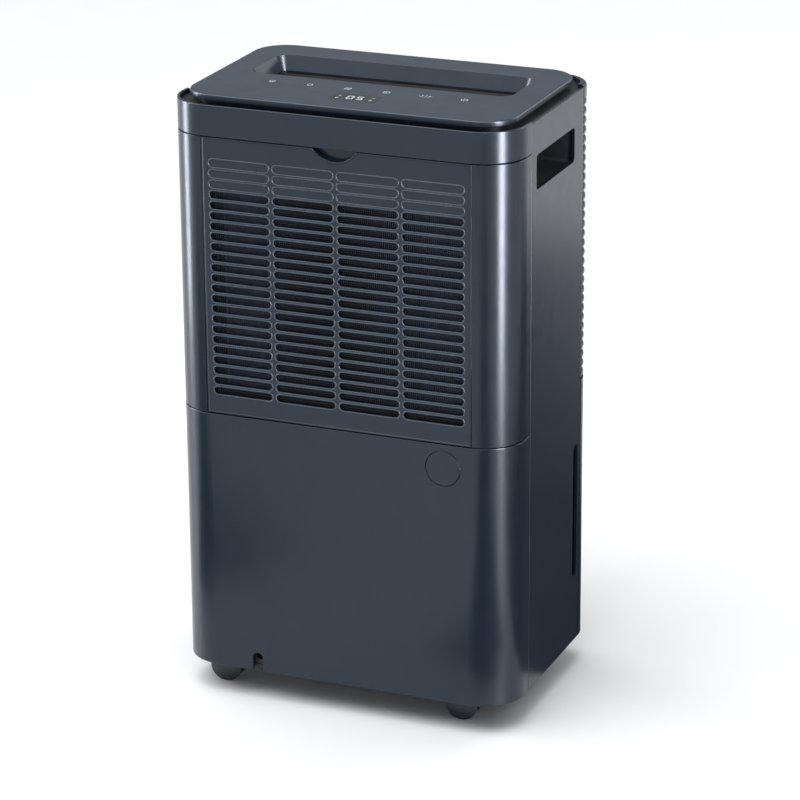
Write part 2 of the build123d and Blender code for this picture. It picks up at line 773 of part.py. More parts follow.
with BuildPart() as tank_bin:
    with BuildSketch(Plane.XY.offset(tank_floor_z)):
        add(tank_outline(0))
    extrude(amount=tank_top_z - tank_floor_z)
    with BuildSketch(Plane.XY.offset(tank_floor_z + tank_wall)):
        add(tank_outline(tank_wall))
    extrude(amount=tank_top_z - tank_floor_z, mode=Mode.SUBTRACT)
    # finger pockets behind the slots of the side panels
    for sign in (-1, 1):
        with BuildSketch(side_plane(sign, tank_side_gap)):
            with Locations((sign * grip_y, grip_z)):
                Rectangle(pocket_length + 2 * tank_wall, pocket_height + 2 * tank_wall)
        extrude(amount=-(tank_pocket_depth + tank_wall))
        with BuildSketch(side_plane(sign, tank_side_gap)):
            with Locations((sign * grip_y, grip_z)):
                Rectangle(pocket_length, pocket_height)
        extrude(amount=-tank_pocket_depth, mode=Mode.SUBTRACT)
save(tank_bin, "tank_bin")

with BuildPart() as tank_front:
    with BuildSketch(Plane.XY.offset(ground_gap)):
        add(wall_section(front, front_seam_y - seam / 2))
    extrude(amount=lower_height - seam)
    fillet(tank_front.faces().sort_by(Axis.Z)[-1].edges(), edge_round)
    fillet(tank_front.faces().sort_by(Axis.Z)[0].edges(), edge_round)
save(tank_front, "tank_front")

lid_top = tank_top_z + lid_thickness
ear_x = bail_half_span + arm_width / 2 + side_play + ear_thickness / 2
ear_top = bail_pivot_z + bail_pin_radius + ear_land
ear_length = 2 * (bail_pin_radius + ear_land)
float_ear_x = float_arm_width / 2 + side_play + float_ear_thickness / 2
float_ear_bottom = float_pivot_z - float_pin_radius - ear_land

with BuildPart() as tank_lid:
    with BuildSketch(Plane.XY.offset(tank_top_z)):
        add(tank_outline(0))
        with Locations((spout_x, spout_end_y)):
            Circle(lid_hole_radius, mode=Mode.SUBTRACT)
        with Locations((pour_x, pour_y)):
            Circle(pour_radius, mode=Mode.SUBTRACT)
    extrude(amount=lid_thickness)
    with BuildSketch(Plane.XY.offset(tank_top_z - lid_skirt)):
        add(tank_outline(tank_wall + lid_play))
        add(tank_outline(2 * tank_wall + lid_play), mode=Mode.SUBTRACT)
    extrude(amount=lid_skirt)
    # ears for the carrying bail
    with BuildSketch(Plane.XY.offset(lid_top)):
        with Locations((-ear_x, bail_pivot_y), (ear_x, bail_pivot_y)):
            Rectangle(ear_thickness, ear_length)
    extrude(amount=ear_top - lid_top)
    # hangers for the float
    with BuildSketch(Plane.XY.offset(float_ear_bottom)):
        with Locations((float_x - float_ear_x, float_pivot_y), (float_x + float_ear_x, float_pivot_y)):
            Rectangle(float_ear_thickness, 2 * (float_pin_radius + ear_land))
    extrude(amount=tank_top_z - float_ear_bottom)
    with BuildSketch(Plane.YZ):
        with Locations((bail_pivot_y, bail_pivot_z)):
            Circle(bail_pin_radius + pin_clearance)
        with Locations((float_pivot_y, float_pivot_z)):
            Circle(float_pin_radius + pin_clearance)
    extrude(amount=tank_half_x, both=True, mode=Mode.SUBTRACT)
save(tank_lid, "tank_lid")

bail_plane = Plane(origin=(0, bail_pivot_y, bail_pivot_z), x_dir=(0, -1, 0), z_dir=(-1, 0, 0))

with BuildPart() as tank_bail:
    with BuildSketch(bail_plane):
        with Locations((bail_reach / 2, 0)):
            SlotOverall(bail_reach + arm_height, arm_height)
    extrude(amount=bail_half_span + arm_width / 2, both=True)
    with BuildSketch(bail_plane):
        with Locations(((bail_reach - arm_height) / 2, 0)):
            Rectangle(bail_reach + arm_height, 2 * arm_height)
    extrude(amount=bail_half_span - arm_width / 2, both=True, mode=Mode.SUBTRACT)
    with BuildSketch(bail_plane):
        with Locations((bail_reach, 0)):
            Circle(bail_bar_radius)
    extrude(amount=bail_half_span + arm_width / 2, both=True)
    with BuildSketch(bail_plane.offset(-bail_half_span - arm_width / 2 - ear_thickness)):
        Circle(bail_pin_radius)
    extrude(amount=ear_thickness + arm_width)
    with BuildSketch(bail_plane.offset(bail_half_span - arm_width / 2)):
        Circle(bail_pin_radius)
    extrude(amount=ear_thickness + arm_width)
save(tank_bail, "tank_bail")

float_plane = Plane(origin=(float_x, float_pivot_y, float_pivot_z), x_dir=(0, -1, 0), z_dir=(-1, 0, 0))
float_end = (float_arm * cos(radians(float_rest)), -float_arm * sin(radians(float_rest)))

with BuildPart() as tank_float:
    with BuildSketch(float_plane):
        with Locations((float_end[0] / 2, float_end[1] / 2)):
            SlotOverall(float_arm + float_arm_width, float_arm_width, rotation=-float_rest)
    extrude(amount=float_arm_width / 2, both=True)
    with BuildSketch(float_plane):
        with Locations(float_end):
            RectangleRounded(float_length, float_height, float_round)
    extrude(amount=float_width / 2, both=True)
    with BuildSketch(float_plane):
        Circle(float_pin_radius)
    extrude(amount=float_ear_x + float_ear_thickness / 2, both=True)
save(tank_float, "tank_float")


# ================================================================ inner frame and water path
base_bottom = ground_gap + base_lift
base_top = base_bottom + base_thickness
base_inset = inner + lip + lip_gap
caster_spots = [(-caster_x, -caster_y), (caster_x, -caster_y), (-caster_x, caster_y), (caster_x, caster_y)]
well_roof = base_bottom + well_height
socket_top = well_roof + well_wall + stem_socket_height

with BuildPart() as base_tray:
    with BuildSketch(Plane.XY.offset(base_bottom)):
        add(body_outline(base_inset))
    extrude(amount=base_thickness)
    with BuildSketch(Plane.XY.offset(base_top)):
        add(wall_section(bulkhead_y, rear, base_inset, well_wall))
        with Locations((cord_x, rear - base_inset)):
            Rectangle(gland_width + 2 * seam, 2 * base_inset, mode=Mode.SUBTRACT)
    extrude(amount=base_rim_height)
    with BuildSketch(Plane.XY.offset(base_bottom)):
        with Locations(*caster_spots):
            Circle(well_radius + well_wall)
    extrude(amount=well_height + well_wall)
    with BuildSketch(Plane.XY.offset(base_bottom)):
        with Locations(*caster_spots):
            Circle(well_radius)
    extrude(amount=well_height, mode=Mode.SUBTRACT)
    with BuildSketch(Plane.XY.offset(well_roof)):
        with Locations(*caster_spots):
            Circle(stem_radius + stem_socket_wall)
    extrude(amount=socket_top - well_roof)
    with BuildSketch(Plane.XY.offset(well_roof)):
        with Locations(*caster_spots):
            Circle(stem_radius + pin_clearance)
    extrude(amount=stem_socket_height, mode=Mode.SUBTRACT)
    # rails that the tank slides on
    with BuildSketch(Plane.XY.offset(base_top)):
        with Locations((-rail_x, tank_mid_y), (rail_x, tank_mid_y)):
            Rectangle(rail_width, tank_length)
    extrude(amount=tank_floor_z - side_play - base_top)
    with BuildSketch(Plane.XY.offset(base_bottom)):
        with Locations(*base_screw_spots):
            Circle(screw_radius)
    extrude(amount=base_thickness, mode=Mode.SUBTRACT)
    # recesses that take the screw heads flush
    with BuildSketch(Plane.XY.offset(base_bottom)):
        with Locations(*base_screw_spots):
            Circle(screw_head_radius + screw_head_gap)
    extrude(amount=screw_head_height, mode=Mode.SUBTRACT)
save(base_tray, "base_tray")

with BuildPart() as base_screws:
    with BuildSketch(Plane.XY.offset(base_bottom)):
        with Locations(*base_screw_spots):
            Circle(screw_radius)
    extrude(amount=screw_length)
    with BuildSketch(Plane.XY.offset(base_bottom)):
        with Locations(*base_screw_spots):
            Circle(screw_head_radius)
    extrude(amount=screw_head_height)
save(base_screws, "base_screws")

spout_z = tray_bottom + tray_wall + spout_bore

with BuildPart() as chassis_frame:
    with BuildSketch(Plane.XZ.offset(-bulkhead_y)):
        with Locations((0, (base_top + bay_roof_z) / 2)):
            Rectangle(2 * (side - base_inset), bay_roof_z - base_top)
        with Locations((spout_x, spout_z)):
            Circle(spout_radius + side_play, mode=Mode.SUBTRACT)
    extrude(amount=plate_metal)
    with BuildSketch(Plane.XY.offset(bay_roof_z)):
        add(body_outline(front_skin + lip_gap))
        with Locations((0, (front + bulkhead_y) / 2)):
            Rectangle(width, bulkhead_y - front, mode=Mode.INTERSECT)
    extrude(amount=plate_metal)
save(chassis_frame, "chassis_frame")

tray_length = tray_back_y - tray_front_y
tray_mid_y = (tray_back_y + tray_front_y) / 2

with BuildPart() as drip_tray:
    with BuildSketch(Plane.XY.offset(tray_bottom)):
        with Locations((0, tray_mid_y)):
            Rectangle(2 * tray_half_width, tray_length)
    extrude(amount=tray_height)
    with BuildSketch(Plane.XY.offset(tray_bottom + tray_wall)):
        with Locations((0, tray_mid_y)):
            Rectangle(2 * (tray_half_width - tray_wall), tray_length - 2 * tray_wall)
    extrude(amount=tray_height, mode=Mode.SUBTRACT)
    # spout that drips into the tank through its lid
    with BuildSketch(Plane.XZ.offset(-tray_front_y)):
        with Locations((spout_x, spout_z)):
            Circle(spout_radius)
    extrude(amount=tray_front_y - spout_end_y)
    with BuildSketch(Plane.XZ.offset(-tray_front_y - tray_wall)):
        with Locations((spout_x, spout_z)):
            Circle(spout_bore)
    extrude(amount=tray_front_y + tray_wall - spout_end_y, mode=Mode.SUBTRACT)
    with BuildSketch(Plane.XY.offset(tray_bottom)):
        with Locations((drain_x, spigot_y)):
            Circle(spigot_bore)
    extrude(amount=tray_wall, mode=Mode.SUBTRACT)
save(drip_tray, "drip_tray")

spigot_end_y = rear - spigot_inset

with BuildPart() as drain_spigot:
    with BuildLine() as drain_route:
        FilletPolyline((drain_x, spigot_y, tray_bottom), (drain_x, spigot_y, drain_z),
                       (drain_x, spigot_end_y, drain_z), radius=spigot_bend)
    with BuildSketch(Plane(origin=(drain_x, spigot_y, tray_bottom), z_dir=(0, 0, -1))):
        Circle(spigot_radius)
        Circle(spigot_bore, mode=Mode.SUBTRACT)
    sweep(path=drain_route.line)
save(drain_spigot, "drain_spigot")

with BuildPart() as drain_cover:
    with BuildSketch(drain_plane):
        Circle(drain_radius)
    extrude(amount=-cap_thickness)
    fillet(drain_cover.faces().sort_by(Axis.Y)[-1].edges(), edge_round)
    with BuildSketch(drain_plane.offset(-cap_thickness)):
        Circle(drain_radius - cap_step)
        Circle(drain_radius - cap_step - cap_wall, mode=Mode.SUBTRACT)
    extrude(amount=-cap_skirt)
save(drain_cover, "drain_cover")


# ================================================================ coils
def build_coil(middle_y):
    """Fin block with end plates, and the return bends of its tube on both ends."""
    pitch = (coil_top - coil_bottom) / coil_rows
    bend = pitch / 4
    with BuildPart() as coil:
        with BuildSketch(Plane.XY.offset(coil_bottom)):
            with Locations((0, middle_y)):
                Rectangle(2 * coil_half_width, coil_depth)
        extrude(amount=coil_top - coil_bottom)
        for sign in (-1, 1):
            for row in range(coil_rows):
                bend_z = coil_bottom + (row + 0.5) * pitch
                with BuildSketch(Plane(origin=(sign * coil_half_width, middle_y, bend_z),
                                       x_dir=(0, 1, 0), z_dir=(1, 0, 0))):
                    with Locations((0, -sign * bend)):
                        Circle(coil_tube_radius)
                revolve(axis=Axis((sign * coil_half_width, middle_y, bend_z), (0, -1, 0)),
                        revolution_arc=180)
    return coil


evaporator_coil = build_coil(evaporator_y)
save(evaporator_coil, "evaporator_coil")
condenser_coil = build_coil(condenser_y)
save(condenser_coil, "condenser_coil")


# ================================================================ fan
scroll_front_y = fan_y - scroll_depth / 2
scroll_plane = Plane(origin=(0, scroll_front_y, fan_z), x_dir=(-1, 0, 0), z_dir=(0, 1, 0))
scroll_top = funnel_bottom - fin_height - scroll_gap


def scroll_outline(inset):
    """Fan casing seen from the rear: a half round below and a straight duct above."""
    with BuildSketch(Plane.XY, mode=Mode.PRIVATE) as outline:
        Circle(scroll_radius - inset)
        with Locations((0, (scroll_top - fan_z) / 2)):
            Rectangle(2 * (scroll_radius - inset), scroll_top - fan_z)
    return outline.sketch


with BuildPart() as fan_scroll:
    with BuildSketch(scroll_plane):
        add(scroll_outline(0))
    extrude(amount=scroll_depth)
    with BuildSketch(scroll_plane.offset(scroll_wall)):
        add(scroll_outline(scroll_wall))
    extrude(amount=scroll_depth - 2 * scroll_wall, mode=Mode.SUBTRACT)
    with BuildSketch(scroll_plane):
        Circle(shaft_radius + scroll_wall)
    extrude(amount=scroll_wall, mode=Mode.SUBTRACT)
    with BuildSketch(scroll_plane.offset(scroll_depth - scroll_wall)):
        Circle(inlet_radius)
    extrude(amount=scroll_wall, mode=Mode.SUBTRACT)
save(fan_scroll, "fan_scroll")

impeller_plane = scroll_plane.offset((scroll_depth - impeller_width) / 2)
blade_radius = impeller_radius - blade_chord / 2

with BuildPart() as fan_impeller:
    with BuildSketch(impeller_plane):
        Circle(impeller_radius)
        Circle(shaft_radius, mode=Mode.SUBTRACT)
    extrude(amount=scroll_wall)
    with BuildSketch(impeller_plane.offset(impeller_width - scroll_wall)):
        Circle(impeller_radius)
        Circle(impeller_radius - blade_chord, mode=Mode.SUBTRACT)
    extrude(amount=scroll_wall)
    with BuildSketch(impeller_plane):
        with PolarLocations(blade_radius, blade_count):
            Rectangle(blade_chord - scroll_wall, blade_thickness, rotation=blade_lean)
    extrude(amount=impeller_width)
    with BuildSketch(impeller_plane):
        Circle(hub_radius)
        Circle(shaft_radius, mode=Mode.SUBTRACT)
    extrude(amount=hub_length)
save(fan_impeller, "fan_impeller")

motor_end = scroll_plane.offset(-motor_length)

with BuildPart() as fan_motor:
    with BuildSketch(motor_end):
        Circle(motor_radius)
    extrude(amount=motor_length)
    fillet(fan_motor.faces().sort_by(Axis.Y)[0].edges(), motor_round)
    with BuildSketch(motor_end.offset(bore_start)):
        Circle(shaft_radius + pin_clearance)
    extrude(amount=motor_length, mode=Mode.SUBTRACT)
save(fan_motor, "fan_motor")

with BuildPart() as fan_shaft:
    with BuildSketch(motor_end.offset(shaft_start)):
        Circle(shaft_radius)
    extrude(amount=motor_length - shaft_start + (scroll_depth - impeller_width) / 2 + hub_length)
save(fan_shaft, "fan_shaft")


# ================================================================ compressor and electrics
compressor_plane = Plane(origin=(compressor_x, compressor_y, base_top + grommet_height))
compressor_top = base_top + grommet_height + plate_metal + compressor_height

with BuildPart() as compressor:
    with BuildSketch(compressor_plane):
        Circle(compressor_radius - foot_radius)
        with PolarLocations(foot_pitch, 3):
            Circle(foot_radius)
        make_hull()
    extrude(amount=plate_metal)
    with BuildSketch(compressor_plane.offset(plate_metal)):
        Circle(compressor_radius)
    extrude(amount=compressor_height)
    fillet(compressor.faces().sort_by(Axis.Z)[-1].edges(), dome_radius)
save(compressor, "compressor")

with BuildPart() as compressor_grommets:
    with BuildSketch(Plane(origin=(compressor_x, compressor_y, base_top))):
        with PolarLocations(foot_pitch, 3):
            Circle(grommet_radius)
    extrude(amount=grommet_height)
save(compressor_grommets, "compressor_grommets")


def build_pipe(points):
    """Round tube of the refrigerant circuit along straight runs and bends."""
    with BuildPart() as pipe:
        with BuildLine() as route:
            FilletPolyline(*points, radius=pipe_bend)
        with BuildSketch(Plane(origin=points[0], z_dir=(0, 0, 1))):
            Circle(pipe_radius)
        sweep(path=route.line)
    return pipe


pipe_x = -side + pipe_side_gap
discharge_y = condenser_y - coil_tube_radius - 2 * pipe_radius
suction_y = evaporator_y - coil_tube_radius - 2 * pipe_radius
discharge_x = compressor_x - pipe_spread
suction_x = compressor_x + pipe_spread
discharge_z = compressor_top + pipe_rise
suction_z = compressor_top + 2 * pipe_rise

discharge_pipe = build_pipe([
    (discharge_x, discharge_y, compressor_top),
    (discharge_x, discharge_y, discharge_z),
    (pipe_x, discharge_y, discharge_z),
    (pipe_x, discharge_y, coil_bottom + pipe_entry),
    (-coil_half_width, discharge_y, coil_bottom + pipe_entry),
])
save(discharge_pipe, "discharge_pipe")
suction_pipe = build_pipe([
    (suction_x, suction_y, compressor_top),
    (suction_x, suction_y, suction_z),
    (pipe_x, suction_y, suction_z),
    (pipe_x, suction_y, coil_bottom + 2 * pipe_entry),
    (-coil_half_width, suction_y, coil_bottom + 2 * pipe_entry),
])
save(suction_pipe, "suction_pipe")

box_bottom = well_roof + well_wall + box_lift

# the box hangs on the bulkhead, clear of the caster wells
with BuildPart() as electronics_box:
    with BuildSketch(Plane.XY.offset(box_bottom)):
        with Locations((box_x, box_y)):
            RectangleRounded(box_length, box_width, box_round)
    extrude(amount=box_height)
save(electronics_box, "electronics_box")

with BuildPart() as run_capacitor:
    with BuildSketch(Plane.XY.offset(box_bottom + box_height)):
        with Locations((box_x, box_y)):
            Circle(capacitor_radius)
    extrude(amount=capacitor_height)
    fillet(run_capacitor.faces().sort_by(Axis.Z)[-1].edges(), edge_round)
save(run_capacitor, "run_capacitor")

with BuildPart() as cord_gland:
    with BuildSketch(Plane.XY.offset(base_top)):
        with Locations((cord_x, rear - wall - gland_setback - gland_length / 2)):
            Rectangle(gland_width, gland_length)
    extrude(amount=gland_height)
    with BuildSketch(cord_plane.offset(-wall - gland_setback)):
        with Locations((0, cord_height - cord_width / 2)):
            Circle(cord_width / 2 - gland_lip)
    extrude(amount=-gland_length, mode=Mode.SUBTRACT)
save(cord_gland, "cord_gland")

with BuildPart() as tank_sensor:
    with BuildSketch(Plane(origin=(float_x, bulkhead_y, float_pivot_z), x_dir=(-1, 0, 0), z_dir=(0, 1, 0))):
        RectangleRounded(sensor_length, sensor_height, sensor_round)
    extrude(amount=sensor_depth)
save(tank_sensor, "tank_sensor")

with BuildPart() as humidity_sensor:
    with BuildSketch(Plane(origin=(pillar_half + wall, ledge_y - ledge_thickness - sensor_stand, panel_mid_z),
                           x_dir=(0, 1, 0), z_dir=(1, 0, 0))):
        RectangleRounded(sensor_height, sensor_length, sensor_round)
    extrude(amount=sensor_depth)
save(humidity_sensor, "humidity_sensor")


# ================================================================ casters
def build_yoke(spot):
    """Swivel stem, pad and web that hold the axle of one caster."""
    centre_x, centre_y = spot
    axle_x = centre_x + caster_trail
    with BuildPart() as yoke:
        with BuildSketch(Plane(origin=(axle_x, centre_y, wheel_radius), x_dir=(-1, 0, 0), z_dir=(0, 1, 0))):
            Circle(web_radius)
            with Locations((caster_trail, (pad_bottom - wheel_radius) / 2)):
                Rectangle(2 * web_radius, pad_bottom - wheel_radius)
        extrude(amount=yoke_width / 2, both=True)
        with BuildSketch(Plane(origin=(centre_x, centre_y, pad_bottom))):
            Circle(pad_radius)
        extrude(amount=well_roof - pad_gap - pad_bottom)
        with BuildSketch(Plane(origin=(centre_x, centre_y, pad_bottom))):
            Circle(stem_radius)
        extrude(amount=well_roof + stem_socket_height - pad_gap - pad_bottom)
        with BuildSketch(Plane(origin=(axle_x, centre_y, wheel_radius), x_dir=(-1, 0, 0), z_dir=(0, 1, 0))):
            Circle(axle_radius + pin_clearance)
        extrude(amount=yoke_width, both=True, mode=Mode.SUBTRACT)
    return yoke


def build_wheels(spot):
    """Two wheels with rounded faces on one axle, as a single moulding."""
    centre_x, centre_y = spot
    inner_face = yoke_width / 2 + wheel_gap
    outer_face = inner_face + wheel_width
    crown_start = outer_face - wheel_crown
    bevel_radius = wheel_radius - wheel_bevel
    bevel_face = inner_face + wheel_bevel
    with BuildPart() as wheels:
        with BuildSketch(Plane(origin=(centre_x + caster_trail, centre_y, wheel_radius),
                               x_dir=(1, 0, 0), z_dir=(0, 0, 1))):
            for sign in (-1, 1):
                with BuildLine():
                    Line((0, 0), (axle_radius, 0))
                    Line((axle_radius, 0), (axle_radius, sign * inner_face))
                    Line((axle_radius, sign * inner_face), (bevel_radius, sign * inner_face))
                    Line((bevel_radius, sign * inner_face), (wheel_radius, sign * bevel_face))
                    Line((wheel_radius, sign * bevel_face), (wheel_radius, sign * crown_start))
                    ThreePointArc((wheel_radius, sign * crown_start),
                                  (crown_mid * wheel_radius, sign * (outer_face - wheel_crown / 3)),
                                  (axle_radius, sign * outer_face))
                    Line((axle_radius, sign * outer_face), (0, sign * outer_face))
                    Line((0, sign * outer_face), (0, 0))
                make_face()
        revolve(axis=Axis((centre_x + caster_trail, centre_y, wheel_radius), (0, 1, 0)))
    return wheels


for number, spot in enumerate(caster_spots, 1):
    save(build_yoke(spot), f"caster_yoke_{number}")
    save(build_wheels(spot), f"caster_wheels_{number}")
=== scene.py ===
# %% [markdown]
# # A portable dehumidifier
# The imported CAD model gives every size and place. This lesson adds what the CAD can't show:
# the moulded rims of the air inlet, the woven filter net, the finned coils, the printed marks
# and the finish of each plastic and metal. Everything is in metres in the CAD's own frame.

# %% Load the frame
import math
import bmesh
import bpy
from mathutils import Matrix, Vector


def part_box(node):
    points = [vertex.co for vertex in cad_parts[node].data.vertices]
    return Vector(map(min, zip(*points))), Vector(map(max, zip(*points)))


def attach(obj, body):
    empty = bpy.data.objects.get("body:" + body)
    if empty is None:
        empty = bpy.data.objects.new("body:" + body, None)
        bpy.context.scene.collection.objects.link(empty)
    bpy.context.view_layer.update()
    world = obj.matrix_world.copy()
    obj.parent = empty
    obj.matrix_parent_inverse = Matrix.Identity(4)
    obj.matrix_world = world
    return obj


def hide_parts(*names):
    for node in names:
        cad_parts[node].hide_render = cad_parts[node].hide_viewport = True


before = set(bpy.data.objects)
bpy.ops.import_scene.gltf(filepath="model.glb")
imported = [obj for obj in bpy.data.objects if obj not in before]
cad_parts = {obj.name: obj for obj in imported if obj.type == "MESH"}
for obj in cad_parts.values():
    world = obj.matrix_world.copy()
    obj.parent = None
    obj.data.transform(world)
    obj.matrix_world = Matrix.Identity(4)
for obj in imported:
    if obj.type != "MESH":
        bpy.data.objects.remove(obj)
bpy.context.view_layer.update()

MM = 0.001

# %% [markdown]
# ## Camera
# A long lens from a few metres away keeps the upright edges nearly parallel, where a short one
# would make them converge. The camera looks down at the rear, past one side. Its axes are worked
# out from three angles, because that is easier to read than a matrix of nine numbers.

# %% Camera
VIEW_TURN = math.radians(22.417)     # from the rear towards the side
VIEW_DROP = math.radians(19.817)     # how far the camera looks down
VIEW_ROLL = math.radians(-0.395)
CAMERA_SPOT = (-1.051965, 2.516492, 1.228058)
SENSOR_MM, LENS_MM = 36.0, 155.375
look = Vector((math.sin(VIEW_TURN) * math.cos(VIEW_DROP),
               -math.cos(VIEW_TURN) * math.cos(VIEW_DROP), -math.sin(VIEW_DROP)))
level_right = look.cross(Vector((0, 0, 1))).normalized()
level_up = level_right.cross(look)
right = level_right * math.cos(VIEW_ROLL) + level_up * math.sin(VIEW_ROLL)
up = level_up * math.cos(VIEW_ROLL) - level_right * math.sin(VIEW_ROLL)
camera = bpy.data.objects.new("camera", bpy.data.cameras.new("camera"))
bpy.context.scene.collection.objects.link(camera)
camera.data.sensor_width = SENSOR_MM
camera.data.lens = LENS_MM
camera.matrix_world = (Matrix.Translation(CAMERA_SPOT)
                       @ Matrix((right, up, -look)).transposed().to_4x4())
bpy.context.scene.camera = camera
print("camera", [round(v, 3) for v in camera.location])

# %% [markdown]
# ## Colours and nodes
# A colour is written as the sRGB hex value that the eye reads, and one function turns it to the
# linear numbers that a shader needs. A second small function adds a node, sets it and links it.

# %% Colour and node helpers
def colour(code):
    """Linear RGBA from an sRGB hex value."""
    parts = [int(code[i:i + 2], 16) / 255 for i in (1, 3, 5)]
    linear = [c / 12.92 if c <= 0.04045 else ((c + 0.055) / 1.055) ** 2.4 for c in parts]
    return (*linear, 1.0)


def node(tree, kind, inputs=(), **settings):
    """Adds a node. inputs pairs a socket's name or number with a value or another node's output."""
    made = tree.nodes.new(kind)
    for name, value in settings.items():
        setattr(made, name, value)
    for name, value in dict(inputs).items():
        if isinstance(value, bpy.types.NodeSocket):
            tree.links.new(value, made.inputs[name])
        else:
            made.inputs[name].default_value = value
    return made


print("mid grey", [round(c, 3) for c in colour("#808080")[:3]])

# %% [markdown]
# ## Moulded plastic
# The housing is injection moulded ABS. Its tool was spark eroded, so the skin has a fine pebbled
# grain of about 0.4 mm that blurs reflections into a satin sheen. Drawn at that size the grain
# would vanish, so it is drawn at twice the size. Wide, very faint patches of colour and of gloss
# keep large faces from looking painted. A picture of real plastic could be wrapped round it
# instead, but noise in real millimetres has no seams and keeps its scale on every piece.

# %% Plastic materials
NOISE_LOW, NOISE_HIGH = 0.3, 0.7     # most of the noise lies between these two values


def patches(tree, where, size_mm, low, high, stretch=(1, 1, 1)):
    """Noise with cells of size_mm, spread between two values or colours."""
    placed = node(tree, "ShaderNodeMapping", {"Vector": where, "Scale": stretch})
    noise = node(tree, "ShaderNodeTexNoise", {"Vector": placed.outputs[0],
                                              "Scale": 1 / (size_mm * MM),
                                              "Detail": 3.0, "Roughness": 0.55})
    if isinstance(low, tuple):
        ramp = node(tree, "ShaderNodeValToRGB", {"Fac": noise.outputs["Fac"]})
        for stop, place, code in zip(ramp.color_ramp.elements, (NOISE_LOW, NOISE_HIGH), (low, high)):
            stop.position, stop.color = place, code
        return ramp.outputs["Color"]
    return node(tree, "ShaderNodeMapRange", {"Value": noise.outputs["Fac"], "From Min": NOISE_LOW,
                                             "From Max": NOISE_HIGH, "To Min": low,
                                             "To Max": high}).outputs[0]


def finish(name, dark, light, rough, grain_mm=0.8, relief_mm=0.02, patch_mm=45.0, ior=1.5,
           metallic=0.0, stretch=(1, 1, 1), level=0.5):
    """A material with two close colours in patches, uneven gloss and a grain in relief."""
    material = bpy.data.materials.new(name)
    material.use_nodes = True
    tree = material.node_tree
    shader = tree.nodes["Principled BSDF"]
    where = node(tree, "ShaderNodeTexCoord").outputs["Object"]
    tree.links.new(patches(tree, where, patch_mm, colour(dark), colour(light), stretch),
                   shader.inputs["Base Color"])
    tree.links.new(patches(tree, where, patch_mm / 3, rough[0], rough[1], stretch),
                   shader.inputs["Roughness"])
    grain = patches(tree, where, grain_mm, 0.0, 1.0, stretch)
    bump = node(tree, "ShaderNodeBump", {"Strength": 0.5, "Distance": relief_mm * MM,
                                         "Height": grain})
    tree.links.new(bump.outputs[0], shader.inputs["Normal"])
    shader.inputs["Metallic"].default_value = metallic
    if not metallic:
        shader.inputs["IOR"].default_value = ior
    shader.inputs["Specular IOR Level"].default_value = level
    return material


# Satin ABS of the housing: a cool slate grey, deep in tone, with a soft wide reflection.
shell_abs = finish("satin_slate_abs", "#152230", "#182634", (0.22, 0.27), level=0.4)
# The rims round the slots are the same plastic, painted lighter: a painted highlight for the light that
# their round tops catch.
rim_abs_painted_highlight = finish("slate_abs_painted_rim_highlight", "#36424f", "#3c4957", (0.25, 0.3))
# The control plate is the same plastic painted lighter, a painted highlight for the light that falls on
# its top from above, and a little more matt.
plate_abs_painted_top_light = finish("satin_slate_abs_painted_top_light", "#1f2d3b", "#233241", (0.28, 0.34), relief_mm=0.015)
# Black ABS of the hidden and recessed mouldings: grained, so it only greys at a glancing angle. On the
# recessed deck round the control plate this black is also painted shade, for the channel that lies in
# shadow.
painted_shade_and_black_abs = finish("grained_black_abs_and_painted_shade", "#0d0f12", "#121418", (0.45, 0.55), relief_mm=0.03)
# The tank is smoke-grey polypropylene, waxy and softer in its gloss.
tank_pp = finish("smoke_grey_polypropylene", "#2b3036", "#32383f", (0.3, 0.42), patch_mm=30.0,
                 ior=1.49)
# Foamed polystyrene float: off-white with 2 mm beads that press against each other.
float_foam = finish("foamed_polystyrene", "#dcdcd6", "#efefe9", (0.6, 0.8), 2.0, 0.25, 8.0, 1.55)
# Nylon monofilament of the filter net: near black with a faint blue cast.
net_nylon = finish("nylon_monofilament", "#0b0f15", "#121822", (0.4, 0.5), 0.8, 0.01, 6.0, 1.53)
# Hard black acrylic of the display window: polished, with hardly any relief.
lens_acrylic = finish("polished_black_acrylic", "#050507", "#08090b", (0.05, 0.09), 3.0, 0.002,
                      20.0, 1.49)
# Glass-fibre circuit board under green solder mask.
board_green = finish("solder_masked_board", "#0d3a22", "#155030", (0.3, 0.4), 1.0, 0.02, 9.0, 1.55)
# Aluminium fin stock with a thin blue water-shedding coat.
fin_aluminium = finish("blue_coated_aluminium_fins", "#5a6f9c", "#8094bb", (0.35, 0.5), 0.8, 0.01,
                       14.0, metallic=1.0)
# Drawn copper tube, tarnished to a dull brown where it was handled and heated.
copper_tube = finish("drawn_copper", "#4d3226", "#6b4633", (0.25, 0.45), 1.0, 0.01, 12.0, metallic=1.0)
# Black stoved enamel on the compressor shell, a little wavy as sprayed enamel is.
black_enamel = finish("stoved_black_enamel", "#08080a", "#0e0e10", (0.18, 0.28), 2.5, 0.05, 25.0,
                      1.52)
# Zinc-plated steel: pale, streaked along its drawn length.
zinc_steel = finish("zinc_plated_steel", "#8f9396", "#b4b8ba", (0.3, 0.45), 1.0, 0.01, 7.0,
                    metallic=1.0, stretch=(1, 1, 0.3))
# Drawn aluminium can of the capacitor, with fine upright draw lines.
drawn_can = finish("drawn_aluminium_can", "#a8acb0", "#c6cacd", (0.25, 0.38), 1.0, 0.01, 10.0,
                   metallic=1.0, stretch=(1, 1, 0.1))
# Vulcanised rubber of the compressor's grommets: matt, dusty black.
rubber = finish("vulcanised_rubber", "#131313", "#1c1c1c", (0.7, 0.85), 0.9, 0.04, 12.0, 1.52)
